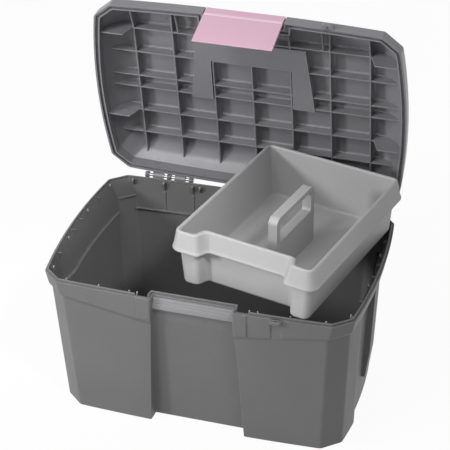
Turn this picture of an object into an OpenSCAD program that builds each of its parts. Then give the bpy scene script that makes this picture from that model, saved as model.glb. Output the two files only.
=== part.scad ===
// Grooming box with a hinged lid, a front latch, a folding carry handle and a lift-out tray.
// Millimetres, +Z up. The origin is on the floor under the middle of the box, and the front faces -Y.
// The box stands open, with its tray lying askew on the rim.

/* [Box] */
// Overall width, at the middle of the bowed end walls
box_w = 400; // [360:1:440]
// Overall depth, at the middle of the bowed front and back walls
box_d = 266; // [250:1:290]
// Height of the body up to the shoulder of its rim
box_h = 197; // [170:1:240]
// Thickness of the moulded walls of the body and the lid
wall = 2.6; // [2.2:0.1:3]
// Thickness of the floor
floor_t = 2.8; // [2:0.1:4]
// How far the end walls bow out at their middle
end_bow = 8; // [5:0.5:11]
// How far the front and back walls bow out at their middle
front_bow = 4.5; // [3:0.5:7]
// Length of a cut corner along the front
corner_x = 22; // [16:1:28]
// Length of a cut corner along the end
corner_y = 19; // [14:1:26]
// How far an end wall leans in between the rim band and the floor
draft_x = 8.5; // [6:0.5:12]
// How far the front and back walls lean in between the rim band and the floor
draft_y = 13; // [8:0.5:15]

/* [Rim] */
// Height of the band under the rim beside the set-back front panel
band_mid_h = 34; // [26:1:40]
// Height of the band under the rim at the corners and the ends
band_h = 17; // [14:1:22]
// How far the band stands out from the end walls
band_end = 5.5; // [4:0.5:7]
// How far the band stands out from the front and back walls
band_front = 2; // [1.5:0.5:4]
// Width of the shoulder outside the lip
shoulder = 2.6; // [2.2:0.1:3]
// Height of the lip above the shoulder
lip_h = 3; // [2:0.5:4]
// Thickness of the lip
lip_t = 1.8; // [1.4:0.1:2.2]

/* [Front] */
// Width of the set-back front panel at the rim
recess_top_w = 101; // [90:1:112]
// Width of the set-back front panel at the floor
recess_foot_w = 120; // [114:1:130]
// Depth of the set-back front panel
recess_in = 11; // [9:0.5:13]
// How far the catch stands out from the set-back panel
catch_out = 5; // [4:0.5:5.5]
// Height of the catch's sloping face
catch_h = 13; // [10:1:16]
// Radius of the padlock hole
padlock_r = 1.75; // [1.25:0.25:2]

/* [Ends] */
// Distance from the middle of an end wall to its raised front panel, at the rim
end_panel_top = 66; // [60:1:72]
// Distance from the middle of an end wall to its raised front panel, at the floor
end_panel_foot = 54; // [48:1:60]
// Depth of the end wall behind its raised front panel
end_recess_in = 6; // [4:0.5:7]
// Width of the pillar on an end wall
pillar_w = 22; // [16:1:30]
// Height of the pillar's lower end above the floor
pillar_z = 42; // [30:1:60]

/* [Lid] */
// Height of the lid above the rim
lid_h = 37; // [34:1:44]
// How far the lid stands open
lid_open = 80.5; // [79:0.5:84]
// Height of the lid's flange
flange_h = 14; // [12:0.5:16]
// Pitch of the ribs that run from front to back
rib_pitch = 50; // [48:1:52]
// Thickness of a rib
rib_t = 1.8; // [1.4:0.1:2.4]
// Depth from the lid's rim to the edges of the ribs
rib_plane = 22; // [20:0.5:24]

/* [Hinges] */
// Distance of each hinge from the middle of the box
hinge_x = 115; // [100:1:125]
// Pitch of the hinge lugs
lug_pitch = 30; // [26:1:34]
// Width of a hinge lug
lug_w = 5; // [4:0.5:7]
// Width of a lid barrel
barrel_w = 14; // [10:0.5:16]
// Radius of the lugs and barrels
lug_r = 4; // [3.6:0.1:4.4]
// Radius of a hinge pin
hinge_pin_r = 2; // [1.5:0.1:2.2]

/* [Latch] */
// Width of the latch
latch_w = 98; // [84:1:98]
// Thickness of the latch
latch_t = 3.2; // [2.4:0.1:3.6]
// Length of the latch below the rim
latch_drop = 50; // [40:1:56]
// Radius of the latch pin
latch_pin_r = 1.5; // [1:0.1:1.8]

/* [Handle] */
// Length of the handle's grip between its legs
handle_gap = 112; // [108:1:116]
// Width of the grip
grip_bar_w = 24; // [18:1:26]
// Thickness of the handle
handle_t = 10; // [8:0.5:11]
// Distance from the pivots to the grip's far edge
handle_reach = 73; // [66:1:75]
// Radius of the handle's pivots
pivot_r = 3; // [2.4:0.1:3.4]

/* [Tray] */
// Width of the tray's rim
tray_w = 183; // [176:1:188]
// Length of the tray's rim
tray_d = 234; // [231:1:238]
// Height of the tray's rim
tray_h = 72; // [62:1:78]
// Wall thickness of the tray
tray_t = 2.4; // [1.8:0.1:3]
// Height of the skirt under the tray's rim
skirt_h = 26; // [20:1:32]
// How far the skirt flares out between the rim and its lower edge
skirt_flare = 5; // [3:0.5:6]
// Width of the tray's rounded rim
tray_rim_w = 5; // [4:0.5:6]
// How far the tray lies turned on the rim
tray_turn = 13.2; // [12.6:0.1:14.2]
// Thickness of the tray's handle
post_t = 12; // [9:0.5:15]
// Length of the tray's handle
post_l = 95; // [84:1:100]
// Height of the tray's handle
post_h = 82; // [76:1:92]

/* [Hidden] */
$fn = 48;
overrun = 1;
embed = 1.2;

// Colours of the mouldings
body_grey = [0.43, 0.43, 0.43];
lid_grey = [0.46, 0.46, 0.47];
latch_pink = [0.87, 0.71, 0.79];
tray_grey = [0.67, 0.68, 0.67];
pin_grey = [0.3, 0.3, 0.31];

// Clearances
lid_gap = 0.3;
seat_gap = 0.3;
pin_slip = 0.06;
latch_clear = 0.8;
pocket_clear = 1.8;

// Body
foot_edge = 2.5;
band_slope = 5;
band_inner_drop = 6;
band_edge_x = 3.5;
band_edge_y = 0.6;
band_z = box_h - band_h;
band_low = band_z - band_slope;
recess_lean = 5;
front_steps = 4;
panel_steps = 3;
end_steps = 9;
back_steps = 10;
back_fan = 3;
rim_t = shoulder + lip_t;
lip_z = box_h + lip_h;
front_slant = 1.2;
end_slant = 24;
corner_loss = 2 - sqrt(2);
ledge_drop = 41;
ledge_w = 5;
ledge_t = 3;
corner_ledge_drop = 22;
corner_ledge_w = 6;
stiffener_t = 1.6;
stiffener_in = 3.8;
stiffener_out = 2.4;
stiffener_h = 14;
stiffener_drop = 0.4;
stiffener_front_shares = [0.47, 0.7];
stiffener_end_shares = [0.12, 0.62];
panel_block_w = 16;
panel_block_h = 30;
panel_block_out = 1;
rim_notch_w = 15;
rim_notch_h = 2.5;
pillar_chamfer_h = 40;
pillar_chamfer = 5;

// Padlock ears
ear_x = 103;
ear_w = 15;
ear_r = 3.9;
ear_t = 4;
ear_out = 1.9;
ear_pocket_w = 13;
ear_pocket_h = 26;
ear_pocket_in = 1.6;

// Catch
catch_drop = 2;
catch_lip = 3;

// Lid
lid_z = box_h + lid_gap;
lid_top = box_h + lid_h;
lid_in = 20;
lid_edge = 2;
flange_step = 4;
flange_edge = 0.5;
skirt_t = 2.1;
groove_h = 4;
groove_w = 3.7;
inner_lip_t = 1.6;
inner_lip_gap = 0.6;
rib_count = 3;
rib_rows = [9, 46, 82];
gusset_rows = [-82, 46];
web_xs = [50, 92, 150];
web_rise = 12;
web_top = 13;
gusset_flat = 30;
gusset_run = 8;
gusset_gap = 5;

// Hinges
hinge_y = box_d / 2 + lug_r;
hinge_z = box_h + 1.5 * lid_gap + embed;
pin_over = 1.5;
lug_drop = 1;
plate_t = 3.4;

// Latch
latch_barrel_t = 1.9;
latch_back_gap = 1.6;
latch_axis_drop = 4;
latch_y = -box_d / 2 + recess_in - latch_barrel_r() - latch_back_gap;
latch_z = box_h + flange_h - latch_axis_drop;
latch_pin_in = 4;
latch_face_in = 0.4;
latch_lean = 5;
hook_gap = 0.5;
hook_h = 4;

// Handle pocket
pivot_y = -2;
pocket_wall = 2.2;
pocket_depth = 14;
pocket_back = 12;
pocket_flare = 10;
pivot_in = 9;
pivot_wall_x = handle_gap / 2 - pocket_clear;
pivot_drop = 7.5;
pivot_z = lid_top - pivot_drop;

// Tray
foot_in_x = 7.5;
foot_in_y = 3.5;
tray_rim_edge = 1.2;
neck_drop = 6;
tray_corner_r = 7;
tray_arc_steps = 3;
tray_fan = 3 * tray_arc_steps + 4;
tray_mid_w = 122;
tray_set = 15;
tray_slant = 5;
tray_swell = 0.4;
tray_seat_z = lip_z + seat_gap;
tray_end_gap = 8.8;
foot_x = tray_w / 2 - foot_in_x;
foot_y = tray_d / 2 - foot_in_y;
tray_x = box_w / 2 - tray_end_gap - foot_x * cos(tray_turn) - foot_y * sin(tray_turn);
tray_y = foot_x * sin(tray_turn) + foot_y * cos(tray_turn) - front_y(0, 0);
post_x = 0.7;
post_y = -7.5;
post_r = 9;
slot_side = 8;
slot_l = post_l - 2 * slot_side;
slot_h = 27;
slot_top = 6.5;
slot_r = 4;

// Radius of the latch's barrel
function latch_barrel_r() = latch_pin_r + latch_barrel_t;

// Bow of a wall at distance s from its middle
function bow(reach, half, s) = reach * (1 - pow(s / half, 2));

// Draft share at height z: all of it at the floor, none at the rim
function lean(z) = 1 - z / box_h;
function in_x(z) = band_end + draft_x * lean(z);
function in_y(z) = band_front + draft_y * lean(z);
function recess_half(z) = (recess_top_w + (recess_foot_w - recess_top_w) * lean(z)) / 2;
function recess_y(z) = box_d / 2 - recess_in - (band_front + draft_y + recess_lean) * lean(z);
function panel_y(z) = end_panel_top + (end_panel_foot - end_panel_top) * lean(z);

// Half width of the flat front and half depth of the flat end at an inset
function front_x(dx, skin) = box_w / 2 - end_bow - dx - skin - corner_x + corner_loss * skin;
function front_y(dy, skin) = box_d / 2 - front_bow - dy - skin;
function end_x(dx, skin) = box_w / 2 - end_bow - dx - skin;
function end_y(dy, skin) = front_y(dy, skin) - corner_y + corner_loss * skin;

// Even steps from one value to another
function steps(from, to, count) = [for (k = [0 : count]) from + (to - from) * k / count];

// Outline of the box, drawn in by dx and dy and then thinned by skin, from the front left corner round
function box_plan(dx, dy, skin, notch_half, notch_y, panel, end_set) =
    let (
        xf = front_x(dx, skin),
        yf = front_y(dy, skin),
        xe = end_x(dx, skin),
        ye = end_y(dy, skin),
        nh = notch_half + skin,
        ns = nh - front_slant,
        ny = min(notch_y - skin, yf + bow(front_bow, xf, nh)),
        front_left = [for (x = steps(-xf, -nh, front_steps)) [x, -yf - bow(front_bow, xf, x)]],
        front_right = [for (x = steps(nh, xf, front_steps)) [x, -yf - bow(front_bow, xf, x)]],
        front = concat(front_left, [[-ns, -ny], [ns, -ny]], front_right),
        panel_side = [for (y = steps(-ye, -panel - skin, panel_steps)) [xe + bow(end_bow, ye, y), y]],
        set_ys = steps(end_slant - panel - skin, ye, end_steps),
        set_side = [for (y = set_ys) [xe + bow(end_bow, ye, y) - end_set, y]],
        right = concat(panel_side, set_side),
        last = len(right) - 1,
        back = [for (x = steps(xf - end_set, end_set - xf, back_steps)) [x, yf + bow(front_bow, xf, x)]],
        left = [for (i = [0 : last]) [-right[last - i].x, right[last - i].y]]
    )
    concat(front, right, back, left);

function raised(points, z) = [for (p = points) [p.x, p.y, z]];

// Triangles from a hub over a chain of points
function fan(hub, chain) = [for (i = [0 : len(chain) - 2]) [hub, chain[i], chain[i + 1]]];

// Caps of an outline that is set back between points a and b, split by a line from b to point c
function cap(n, a, b, c) =
    concat(
        fan(a, concat([b], [for (i = [c : n - 1]) i], [for (i = [0 : a - 1]) i])),
        fan(b, [for (i = [b + 1 : c]) i])
    );

// Closed shell through rings of points, with a cap on its first and last ring
module skinned(rings, ends) {
    n = len(rings[0]);
    m = len(rings);
    last = (m - 1) * n;
    next = [for (i = [0 : n - 1]) (i + 1) % n];
    polyhedron(
        points = [for (ring = rings) each ring],
        faces = concat(
            ends,
            [for (k = [0 : n : last - n], i = [0 : n - 1]) [k + i, k + n + i, k + n + next[i]]],
            [for (k = [0 : n : last - n], i = [0 : n - 1]) [k + i, k + n + next[i], k + next[i]]],
            [for (t = ends) [last + t[2], last + t[1], last + t[0]]]
        )
    );
}

// Caps of the box outline
module box_shell(rings) {
    notch = front_steps + 1;
    back = 2 * front_steps + panel_steps + end_steps + 6 + back_fan;
    skinned(rings, cap(len(rings[0]), notch, notch + 1, back));
}

// Copies on the left and on the right
module both_sides() {
    children();
    mirror([1, 0, 0]) children();
}

// Round bar along X, centred at a point
module bar(r, length, at) {
    translate(at) rotate([0, 90, 0]) cylinder(r = r, h = length, center = true);
}

// Outline in Y and Z, drawn out along X about the middle
module cross_bar(points, length) {
    rotate([90, 0, 90]) translate([0, 0, -length / 2]) linear_extrude(length) polygon(points);
}

// Body
function body_plan(z, skin) =
    box_plan(in_x(z), in_y(z), skin, recess_half(z), recess_y(z), panel_y(z), end_recess_in);
function band_plan(z, dx, dy, skin) =
    box_plan(dx, dy, skin, recess_half(z), recess_y(z), panel_y(z), 0);

// Ring on the band's lower edge, which drops towards the set-back front panel
function band_ring(points, drop) =
    let (
        front_count = 2 * front_steps + 4,
        inner = recess_top_w / 2,
        outer = front_x(0, 0)
    )
    [
        for (i = [0 : len(points) - 1])
            let (share = i < front_count ? min(1, max(0, (outer - abs(points[i].x)) / (outer - inner))) : 0)
                [points[i].x, points[i].y, box_h - band_h - (band_mid_h - band_h) * share - drop]
    ];

function body_rings() = [
    raised(body_plan(0, foot_edge), 0),
    raised(body_plan(foot_edge, 0), foot_edge),
    band_ring(body_plan(band_low, 0), band_slope),
    band_ring(band_plan(band_z, band_edge_x, band_edge_y, 0), 0),
    raised(band_plan(box_h, 0, 0, 0), box_h),
    raised(band_plan(box_h, 0, 0, shoulder), box_h),
    raised(band_plan(box_h, 0, 0, shoulder), lip_z),
    raised(band_plan(box_h, 0, 0, rim_t), lip_z),
    band_ring(band_plan(band_z, band_edge_x, band_edge_y, rim_t), 0),
    band_ring(body_plan(band_low, wall), band_inner_drop),
    raised(body_plan(floor_t, wall), floor_t)
];

// Corner columns where the ledges break
module corner_columns(z, height) {
    x = front_x(in_x(z), wall);
    y = end_y(in_y(z), wall);
    for (sx = [-1, 1], sy = [-1, 1])
        translate([sx * (x + box_w / 2) / 2, sy * (y + box_d / 2) / 2, z])
            cube([box_w / 2 - x, box_d / 2 - y, height], center = true);
}

// Ledges along the walls inside the box, and the higher ones in the corners for the tray's skirt
module ledges() {
    z = box_h - ledge_drop;
    difference() {
        translate([0, 0, z - ledge_t]) linear_extrude(ledge_t) difference() {
            polygon(body_plan(z - ledge_t, wall - embed));
            polygon(body_plan(z - ledge_t, wall + ledge_w));
        }
        corner_columns(z, ledge_w * 2);
    }
    zc = box_h - corner_ledge_drop;
    intersection() {
        translate([0, 0, zc - ledge_t]) linear_extrude(ledge_t) difference() {
            polygon(body_plan(zc, wall - embed));
            polygon(body_plan(zc, wall + corner_ledge_w));
        }
        corner_columns(zc, ledge_w * 2);
    }
}

// Pairs of upright stiffeners under the rim
module stiffeners() {
    low = box_h - stiffener_h;
    high = box_h - stiffener_drop;
    depth = band_edge_x + stiffener_out;
    yf = front_y(0, stiffener_in);
    xf = front_x(0, stiffener_in);
    xe = end_x(0, stiffener_in);
    ye = end_y(0, stiffener_in);
    for (sx = [-1, 1], sy = [-1, 1]) {
        for (share = stiffener_front_shares) {
            y = yf + bow(front_bow, xf, share * xf) - depth / 2;
            translate([sx * share * xf, sy * y, (low + high) / 2])
                cube([stiffener_t, depth, high - low], center = true);
        }
        for (share = stiffener_end_shares) {
            x = xe + bow(end_bow, ye, share * ye) - depth / 2;
            translate([sx * x, sy * share * ye, (low + high) / 2])
                cube([depth, stiffener_t, high - low], center = true);
        }
    }
}

// How far forward the catch's face stands
function catch_face_y() = recess_y(box_h - catch_drop - catch_h) + catch_out;

// Sloping bar across the set-back panel that the latch hooks under
module catch_bar() {
    top = box_h - catch_drop;
    low = top - catch_h;
    face = -catch_face_y();
    cross_bar([
        [-recess_y(top) + embed, top],
        [-recess_y(top), top],
        [face, low],
        [face, low - catch_lip],
        [-recess_y(low) + embed, low - catch_lip]
    ], recess_top_w);
}

// Raised blocks beside the set-back panel
module panel_blocks() {
    inner = recess_top_w / 2 + front_slant;
    y = -front_y(0, 0) - bow(front_bow, front_x(0, 0), inner + panel_block_w);
    both_sides()
        translate([inner, y - panel_block_out, box_h - panel_block_h])
            cube([panel_block_w, panel_block_out + embed, panel_block_h]);
}

// Outer face of the front wall at the padlock ear
function ear_y() = -front_y(0, 0) - bow(front_bow, front_x(0, 0), ear_x);

// Long padlock ear with rounded ends, standing on height z
module padlock_ear(z) {
    half = ear_w / 2 - ear_r;
    translate([ear_x, ear_y() - ear_out, z]) linear_extrude(ear_t) union() {
        square([2 * half, 2 * ear_r], center = true);
        for (s = [-1, 1])
            translate([s * half, 0]) circle(r = ear_r);
    }
}

// Hole through a padlock ear that stands on height z
module padlock_hole(z) {
    translate([ear_x, ear_y() - ear_out, z - overrun]) cylinder(r = padlock_r, h = ear_t + 2 * overrun);
}

// Room for the padlock in the band under the body's ear
module ear_pocket() {
    translate([
        ear_x - ear_pocket_w / 2,
        ear_y() - ear_pocket_in,
        box_h - ear_t - ear_pocket_h
    ])
        cube([ear_pocket_w, 2 * ear_pocket_in, ear_pocket_h]);
}

// Pillar on an end wall, from the band down, with a sloping lower end
function pillar_root(z) = end_x(in_x(z), 0) + end_bow - end_recess_in - embed;

module end_pillars() {
    high = band_low - 2 * band_slope;
    x_high = end_x(band_edge_x, 0) + end_bow - overrun;
    slope_z = pillar_z + pillar_chamfer_h;
    x_mid = x_high - draft_x * (band_z - slope_z) / box_h;
    both_sides()
        rotate([90, 0, 0]) translate([0, 0, -pillar_w / 2]) linear_extrude(pillar_w) polygon([
            [pillar_root(pillar_z), pillar_z],
            [x_mid - pillar_chamfer, pillar_z],
            [x_mid, slope_z],
            [x_high, band_z + overrun],
            [x_high - embed, band_z + 2 * overrun],
            [pillar_root(high), high]
        ]);
}

// Gaps in the lip beside the set-back front panel
module rim_notches() {
    inner = recess_top_w / 2 + rim_t;
    both_sides()
        translate([inner, -box_d / 2 - overrun, box_h - rim_notch_h])
            cube([rim_notch_w, recess_in + overrun, rim_notch_h + lip_h + overrun]);
}

// Lugs behind the rim that hold the hinge pins
module hinge_lugs() {
    back = front_y(0, 0) + bow(front_bow, front_x(0, 0), hinge_x + lug_pitch);
    for (s = [-1, 1], k = [-1, 0, 1]) {
        x = s * hinge_x + k * lug_pitch;
        bar(lug_r, lug_w, [x, hinge_y, hinge_z]);
        translate([x - lug_w / 2, back - embed, hinge_z - lug_r])
            cube([lug_w, hinge_y - back + embed, box_h - lug_drop - hinge_z + lug_r]);
    }
}

module box_body() {
    color(body_grey)
        difference() {
            union() {
                box_shell(body_rings());
                ledges();
                stiffeners();
                catch_bar();
                panel_blocks();
                padlock_ear(box_h - ear_t);
                end_pillars();
                hinge_lugs();
            }
            rim_notches();
            for (s = [-1, 1])
                bar(hinge_pin_r + pin_slip, 2 * (lug_pitch + lug_w), [s * hinge_x, hinge_y, hinge_z]);
            ear_pocket();
            padlock_hole(box_h - ear_t);
        }
}

// Lid, drawn closed and then swung open about the hinge pins
module opened() {
    translate([0, hinge_y, hinge_z]) rotate([-lid_open, 0, 0]) translate([0, -hinge_y, -hinge_z]) children();
}

// Lid ring at a depth below the lid's top
function lid_ring(depth, inset, skin) =
    raised(box_plan(inset, inset, skin, recess_top_w / 2, recess_y(box_h), end_panel_top, 0), depth);

function lid_rings() = [
    lid_ring(0, lid_in + lid_edge, 0),
    lid_ring(lid_edge, lid_in, 0),
    lid_ring(lid_h - flange_h, flange_step, 0),
    lid_ring(lid_h - flange_h, flange_edge, 0),
    lid_ring(lid_h - lid_gap, 0, 0),
    lid_ring(lid_h - lid_gap, 0, skirt_t),
    lid_ring(lid_h - groove_h, 0, skirt_t),
    lid_ring(lid_h - groove_h, 0, skirt_t + groove_w),
    lid_ring(lid_h - inner_lip_gap, 0, skirt_t + groove_w),
    lid_ring(lid_h - inner_lip_gap, 0, skirt_t + groove_w + inner_lip_t),
    lid_ring(lid_h - flange_h, 0, skirt_t + groove_w + inner_lip_t),
    lid_ring(wall, lid_in, wall)
];

// Reach of the lid's inside at an inset from its rim: forwards at x, and sideways at y
function inside_y(x, inset) = front_y(0, inset) + bow(front_bow, front_x(0, inset), x);
function inside_x(y, inset) = end_x(0, inset) + bow(end_bow, end_y(0, inset), y);

// Insets of the lid's sloping wall at the rib edges and at its ceiling
lip_inset = skirt_t + groove_w + inner_lip_t;
ceiling_inset = lid_in + wall;
plane_share = (rib_plane - flange_h) / (lid_h - wall - flange_h);
plane_inset = lip_inset + (ceiling_inset - lip_inset) * plane_share;

// Rib grid under the lid's top, ending on the sloping walls
module lid_ribs() {
    low = box_h + rib_plane;
    high = lid_top - wall / 2;
    for (i = [-rib_count : rib_count]) {
        y_low = inside_y(i * rib_pitch, plane_inset - embed);
        y_high = inside_y(i * rib_pitch, ceiling_inset - embed / 2);
        translate([i * rib_pitch, 0, 0])
            cross_bar([[-y_low, low], [y_low, low], [y_high, high], [-y_high, high]], rib_t);
    }
    for (row = rib_rows, s = [-1, 1]) {
        x_low = inside_x(row, plane_inset - embed);
        x_high = inside_x(row, ceiling_inset - embed / 2);
        translate([0, s * row + rib_t / 2, 0]) rotate([90, 0, 0]) linear_extrude(rib_t)
            polygon([[-x_low, low], [x_low, low], [x_high, high], [-x_high, high]]);
    }
}

// Webs that rise from the rib edges to the rim at the lid's ends
module lid_gussets() {
    low = box_h + rib_plane;
    high = box_h + gusset_gap;
    both_sides()
        for (row = gusset_rows) {
            x = inside_x(row, lip_inset - embed);
            x_low = inside_x(row, plane_inset - embed);
            translate([0, row + rib_t / 2, 0]) rotate([90, 0, 0]) linear_extrude(rib_t) polygon([
                [x, high],
                [x, box_h + web_top],
                [x_low, low + embed],
                [x - gusset_flat - gusset_run, low + embed],
                [x - gusset_flat - gusset_run, low],
                [x - gusset_flat, high]
            ]);
        }
}

// Outer face of the lid's wall behind the latch, level with the feet of the webs
web_share = (rib_plane + embed - flange_h) / (lid_h - lid_edge - flange_h);
function notch_slope_y(x) = recess_y(box_h) - (recess_y(box_h) - inside_y(x, lid_in)) * web_share;

// Sloping webs between the front rim and the first row of ribs
module front_webs() {
    low = box_h + rib_plane;
    row = -rib_rows[2];
    both_sides()
        for (x = web_xs) {
            notched = x < recess_top_w / 2 + lip_inset;
            y_lip = notched ? recess_y(box_h) - lip_inset + embed : inside_y(x, lip_inset - embed);
            y_low = notched ? notch_slope_y(x) - wall / 2 : inside_y(x, plane_inset - embed);
            translate([x, 0, 0]) cross_bar([
                [-y_lip, box_h + web_rise],
                [-y_lip, box_h + web_top],
                [-y_low, low + embed],
                [row, low + embed],
                [row, low]
            ], rib_t);
        }
}

// Outline of the handle pocket, drawn in by an inset
function pocket_plan(inset) =
    let (
        inner = handle_gap / 2 - pocket_clear - pocket_wall + inset,
        front = pivot_y - handle_reach - pocket_clear - pocket_wall + inset,
        near = pivot_y - handle_reach + grip_bar_w + pocket_clear + pocket_wall - inset,
        back = pocket_back - inset,
        wide_front = handle_gap / 2 + pocket_wall + pocket_flare + pocket_clear - inset,
        wide_back = wide_front + pocket_flare
    )
    [
        [-wide_front, front], [wide_front, front], [wide_back, back], [inner, back],
        [inner, near], [-inner, near], [-inner, back], [-wide_back, back]
    ];

module handle_pocket_block() {
    translate([0, 0, lid_top - pocket_depth - pocket_wall])
        linear_extrude(pocket_depth + pocket_wall - wall / 2) polygon(pocket_plan(0));
}

module handle_pocket() {
    translate([0, 0, lid_top - pocket_depth])
        linear_extrude(pocket_depth + overrun) polygon(pocket_plan(pocket_wall));
}

// Barrels on the lid that turn on the hinge pins
module lid_barrels() {
    back = front_y(0, 0) + bow(front_bow, front_x(0, 0), hinge_x) - skirt_t / 2;
    for (s = [-1, 1], k = [-1, 1]) {
        x = s * hinge_x + k * lug_pitch / 2;
        bar(lug_r, barrel_w, [x, hinge_y, hinge_z]);
        translate([x - barrel_w / 2, back, hinge_z - lid_gap])
            cube([barrel_w, hinge_y - back, plate_t]);
    }
}

module lid() {
    color(lid_grey)
        opened()
            difference() {
                union() {
                    translate([0, 0, lid_top]) mirror([0, 0, 1]) box_shell(lid_rings());
                    lid_ribs();
                    lid_gussets();
                    front_webs();
                    handle_pocket_block();
                    lid_barrels();
                    padlock_ear(lid_z);
                }
                handle_pocket();
                for (s = [-1, 1]) {
                    bar(hinge_pin_r + pin_slip, 2 * lug_pitch, [s * hinge_x, hinge_y, hinge_z]);
                    bar(pivot_r + pin_slip, 2 * pivot_in, [s * pivot_wall_x, pivot_y, pivot_z]);
                }
                bar(latch_pin_r + pin_slip, recess_top_w + 2 * latch_pin_in, [0, latch_y, latch_z]);
                padlock_hole(lid_z);
            }
}

// Latch, hanging over the catch when the lid is shut
module front_latch() {
    face = -box_d / 2 + latch_face_in;
    top = latch_z + latch_barrel_r();
    low = box_h - latch_drop;
    low_in = latch_drop * tan(latch_lean);
    hook_z = box_h - catch_drop - catch_h - catch_lip - latch_clear;
    hook_y = face + latch_t + (box_h - hook_z) * tan(latch_lean);
    hook_tip = -catch_face_y() - hook_gap;
    color(latch_pink)
        opened()
            difference() {
                union() {
                    cross_bar([
                        [face, top],
                        [face, box_h],
                        [face + low_in, low],
                        [face + low_in + latch_t, low],
                        [face + latch_t, box_h],
                        [face + latch_t, top]
                    ], latch_w);
                    cross_bar([
                        [hook_y - latch_t / 2, hook_z],
                        [hook_tip, hook_z],
                        [hook_tip, hook_z - hook_h / 2],
                        [hook_y, hook_z - 2 * hook_h],
                        [hook_y - latch_t / 2, hook_z - 2 * hook_h]
                    ], latch_w);
                    cross_bar([
                        [face + latch_t / 2, latch_z - latch_barrel_r()],
                        [latch_y, latch_z - latch_barrel_r()],
                        [latch_y, latch_z + latch_barrel_r()],
                        [face + latch_t / 2, latch_z + latch_barrel_r()]
                    ], latch_w);
                    bar(latch_barrel_r(), latch_w, [0, latch_y, latch_z]);
                }
                bar(latch_pin_r + pin_slip, latch_w + 2 * overrun, [0, latch_y, latch_z]);
            }
}

module latch_pin() {
    color(pin_grey)
        opened()
            bar(latch_pin_r, recess_top_w + 2 * latch_pin_in - overrun, [0, latch_y, latch_z]);
}

// Outline of the folded handle in plan
function handle_plan() =
    let (
        inner = handle_gap / 2,
        front = pivot_y - handle_reach,
        near = front + grip_bar_w,
        wide_front = handle_gap / 2 + pocket_flare,
        flare = pocket_flare * (pivot_y - front) / (pocket_back - front)
    )
    [
        [-wide_front, front], [wide_front, front], [wide_front + flare, pivot_y], [inner, pivot_y],
        [inner, near], [-inner, near], [-inner, pivot_y], [-wide_front - flare, pivot_y]
    ];

module carry_handle() {
    leg_w = pocket_flare * (1 + handle_reach / (pocket_back - pivot_y + handle_reach));
    pivot_mid = handle_gap / 2 - pivot_in / 2 + leg_w / 4;
    color(lid_grey)
        opened()
            union() {
                translate([0, 0, pivot_z - handle_t / 2]) linear_extrude(handle_t) polygon(handle_plan());
                for (s = [-1, 1]) {
                    bar(handle_t / 2, leg_w, [s * (handle_gap + leg_w) / 2, pivot_y, pivot_z]);
                    bar(pivot_r, pivot_in + leg_w / 2, [s * pivot_mid, pivot_y, pivot_z]);
                }
            }
}

// Hinge pins
module hinge_pin(side) {
    length = 2 * lug_pitch + lug_w + 2 * pin_over;
    color(pin_grey) bar(hinge_pin_r, length, [side * hinge_x, hinge_y, hinge_z]);
}

module hinge_pin_left() {
    hinge_pin(-1);
}

module hinge_pin_right() {
    hinge_pin(1);
}

// Outline of the tray, drawn in by dx and dy and then thinned by skin
function tray_plan(dx, dy, skin) =
    let (
        a = tray_w / 2 - dx - skin,
        b = tray_d / 2 - dy - skin,
        r = max(tray_corner_r - skin, tray_t),
        nh = tray_mid_w / 2 + skin,
        set = tray_set,
        arc = [for (k = [0 : tray_arc_steps]) 90 * k / tray_arc_steps],
        front_right = [for (t = arc) [a - r + r * sin(t), -b + r - r * cos(t)]],
        back_right = [for (t = arc) [a - r + r * cos(t), b - r + r * sin(t)]],
        back_left = [for (p = front_right) -p],
        front_left = [for (p = back_right) -p],
        ns = nh - tray_slant,
        bm = b + tray_swell,
        front_mid = [[-nh, -bm], [-ns, set - b], [ns, set - b], [nh, -bm]],
        back_mid = [for (x = steps(nh, -nh, 3)) [x, b + bow(tray_swell, a - r, x)]]
    )
    concat(front_mid, front_right, back_right, back_mid, back_left, front_left);

function tray_ring(z, dx, dy, skin) = raised(tray_plan(dx, dy, skin), z);

// The skirt hangs from the rim, clear of the walls
function tray_rings() = [
    tray_ring(0, foot_in_x, foot_in_y, tray_t / 2),
    tray_ring(tray_t, foot_in_x, foot_in_y, 0),
    tray_ring(tray_h - neck_drop, 0, 0, tray_rim_w - tray_t),
    tray_ring(tray_h - skirt_h, 0, 0, tray_t - skirt_flare),
    tray_ring(tray_h - skirt_h, 0, 0, -skirt_flare),
    tray_ring(tray_h - tray_rim_edge, 0, 0, 0),
    tray_ring(tray_h, 0, 0, tray_rim_edge),
    tray_ring(tray_h, 0, 0, tray_rim_w - tray_rim_edge),
    tray_ring(tray_h - tray_rim_edge, 0, 0, tray_rim_w),
    tray_ring(tray_t, foot_in_x, foot_in_y, tray_t)
];

// Upright handle in the tray, with a hand slot
module tray_post() {
    rotate([90, 0, 90]) translate([0, 0, -post_t / 2]) linear_extrude(post_t) difference() {
        union() {
            translate([-post_l / 2, tray_t / 2]) square([post_l, post_h - post_r - tray_t / 2]);
            translate([-post_l / 2 + post_r, tray_t / 2]) square([post_l - 2 * post_r, post_h - tray_t / 2]);
            for (s = [-1, 1])
                translate([s * (post_l / 2 - post_r), post_h - post_r]) circle(r = post_r);
        }
        translate([-slot_l / 2 + slot_r, post_h - slot_top - slot_h]) square([slot_l - 2 * slot_r, slot_h]);
        translate([-slot_l / 2, post_h - slot_top - slot_h + slot_r]) square([slot_l, slot_h - 2 * slot_r]);
        for (s = [-1, 1], z = [slot_r, slot_h - slot_r])
            translate([s * (slot_l / 2 - slot_r), post_h - slot_top - slot_h + z]) circle(r = slot_r);
    }
}

module tray() {
    color(tray_grey)
        translate([tray_x, tray_y, tray_seat_z]) rotate([0, 0, -tray_turn])
            union() {
                skinned(tray_rings(), cap(len(tray_rings()[0]), 1, 2, tray_fan));
                translate([post_x + post_t / 2, post_y, 0]) tray_post();
            }
}

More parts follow.
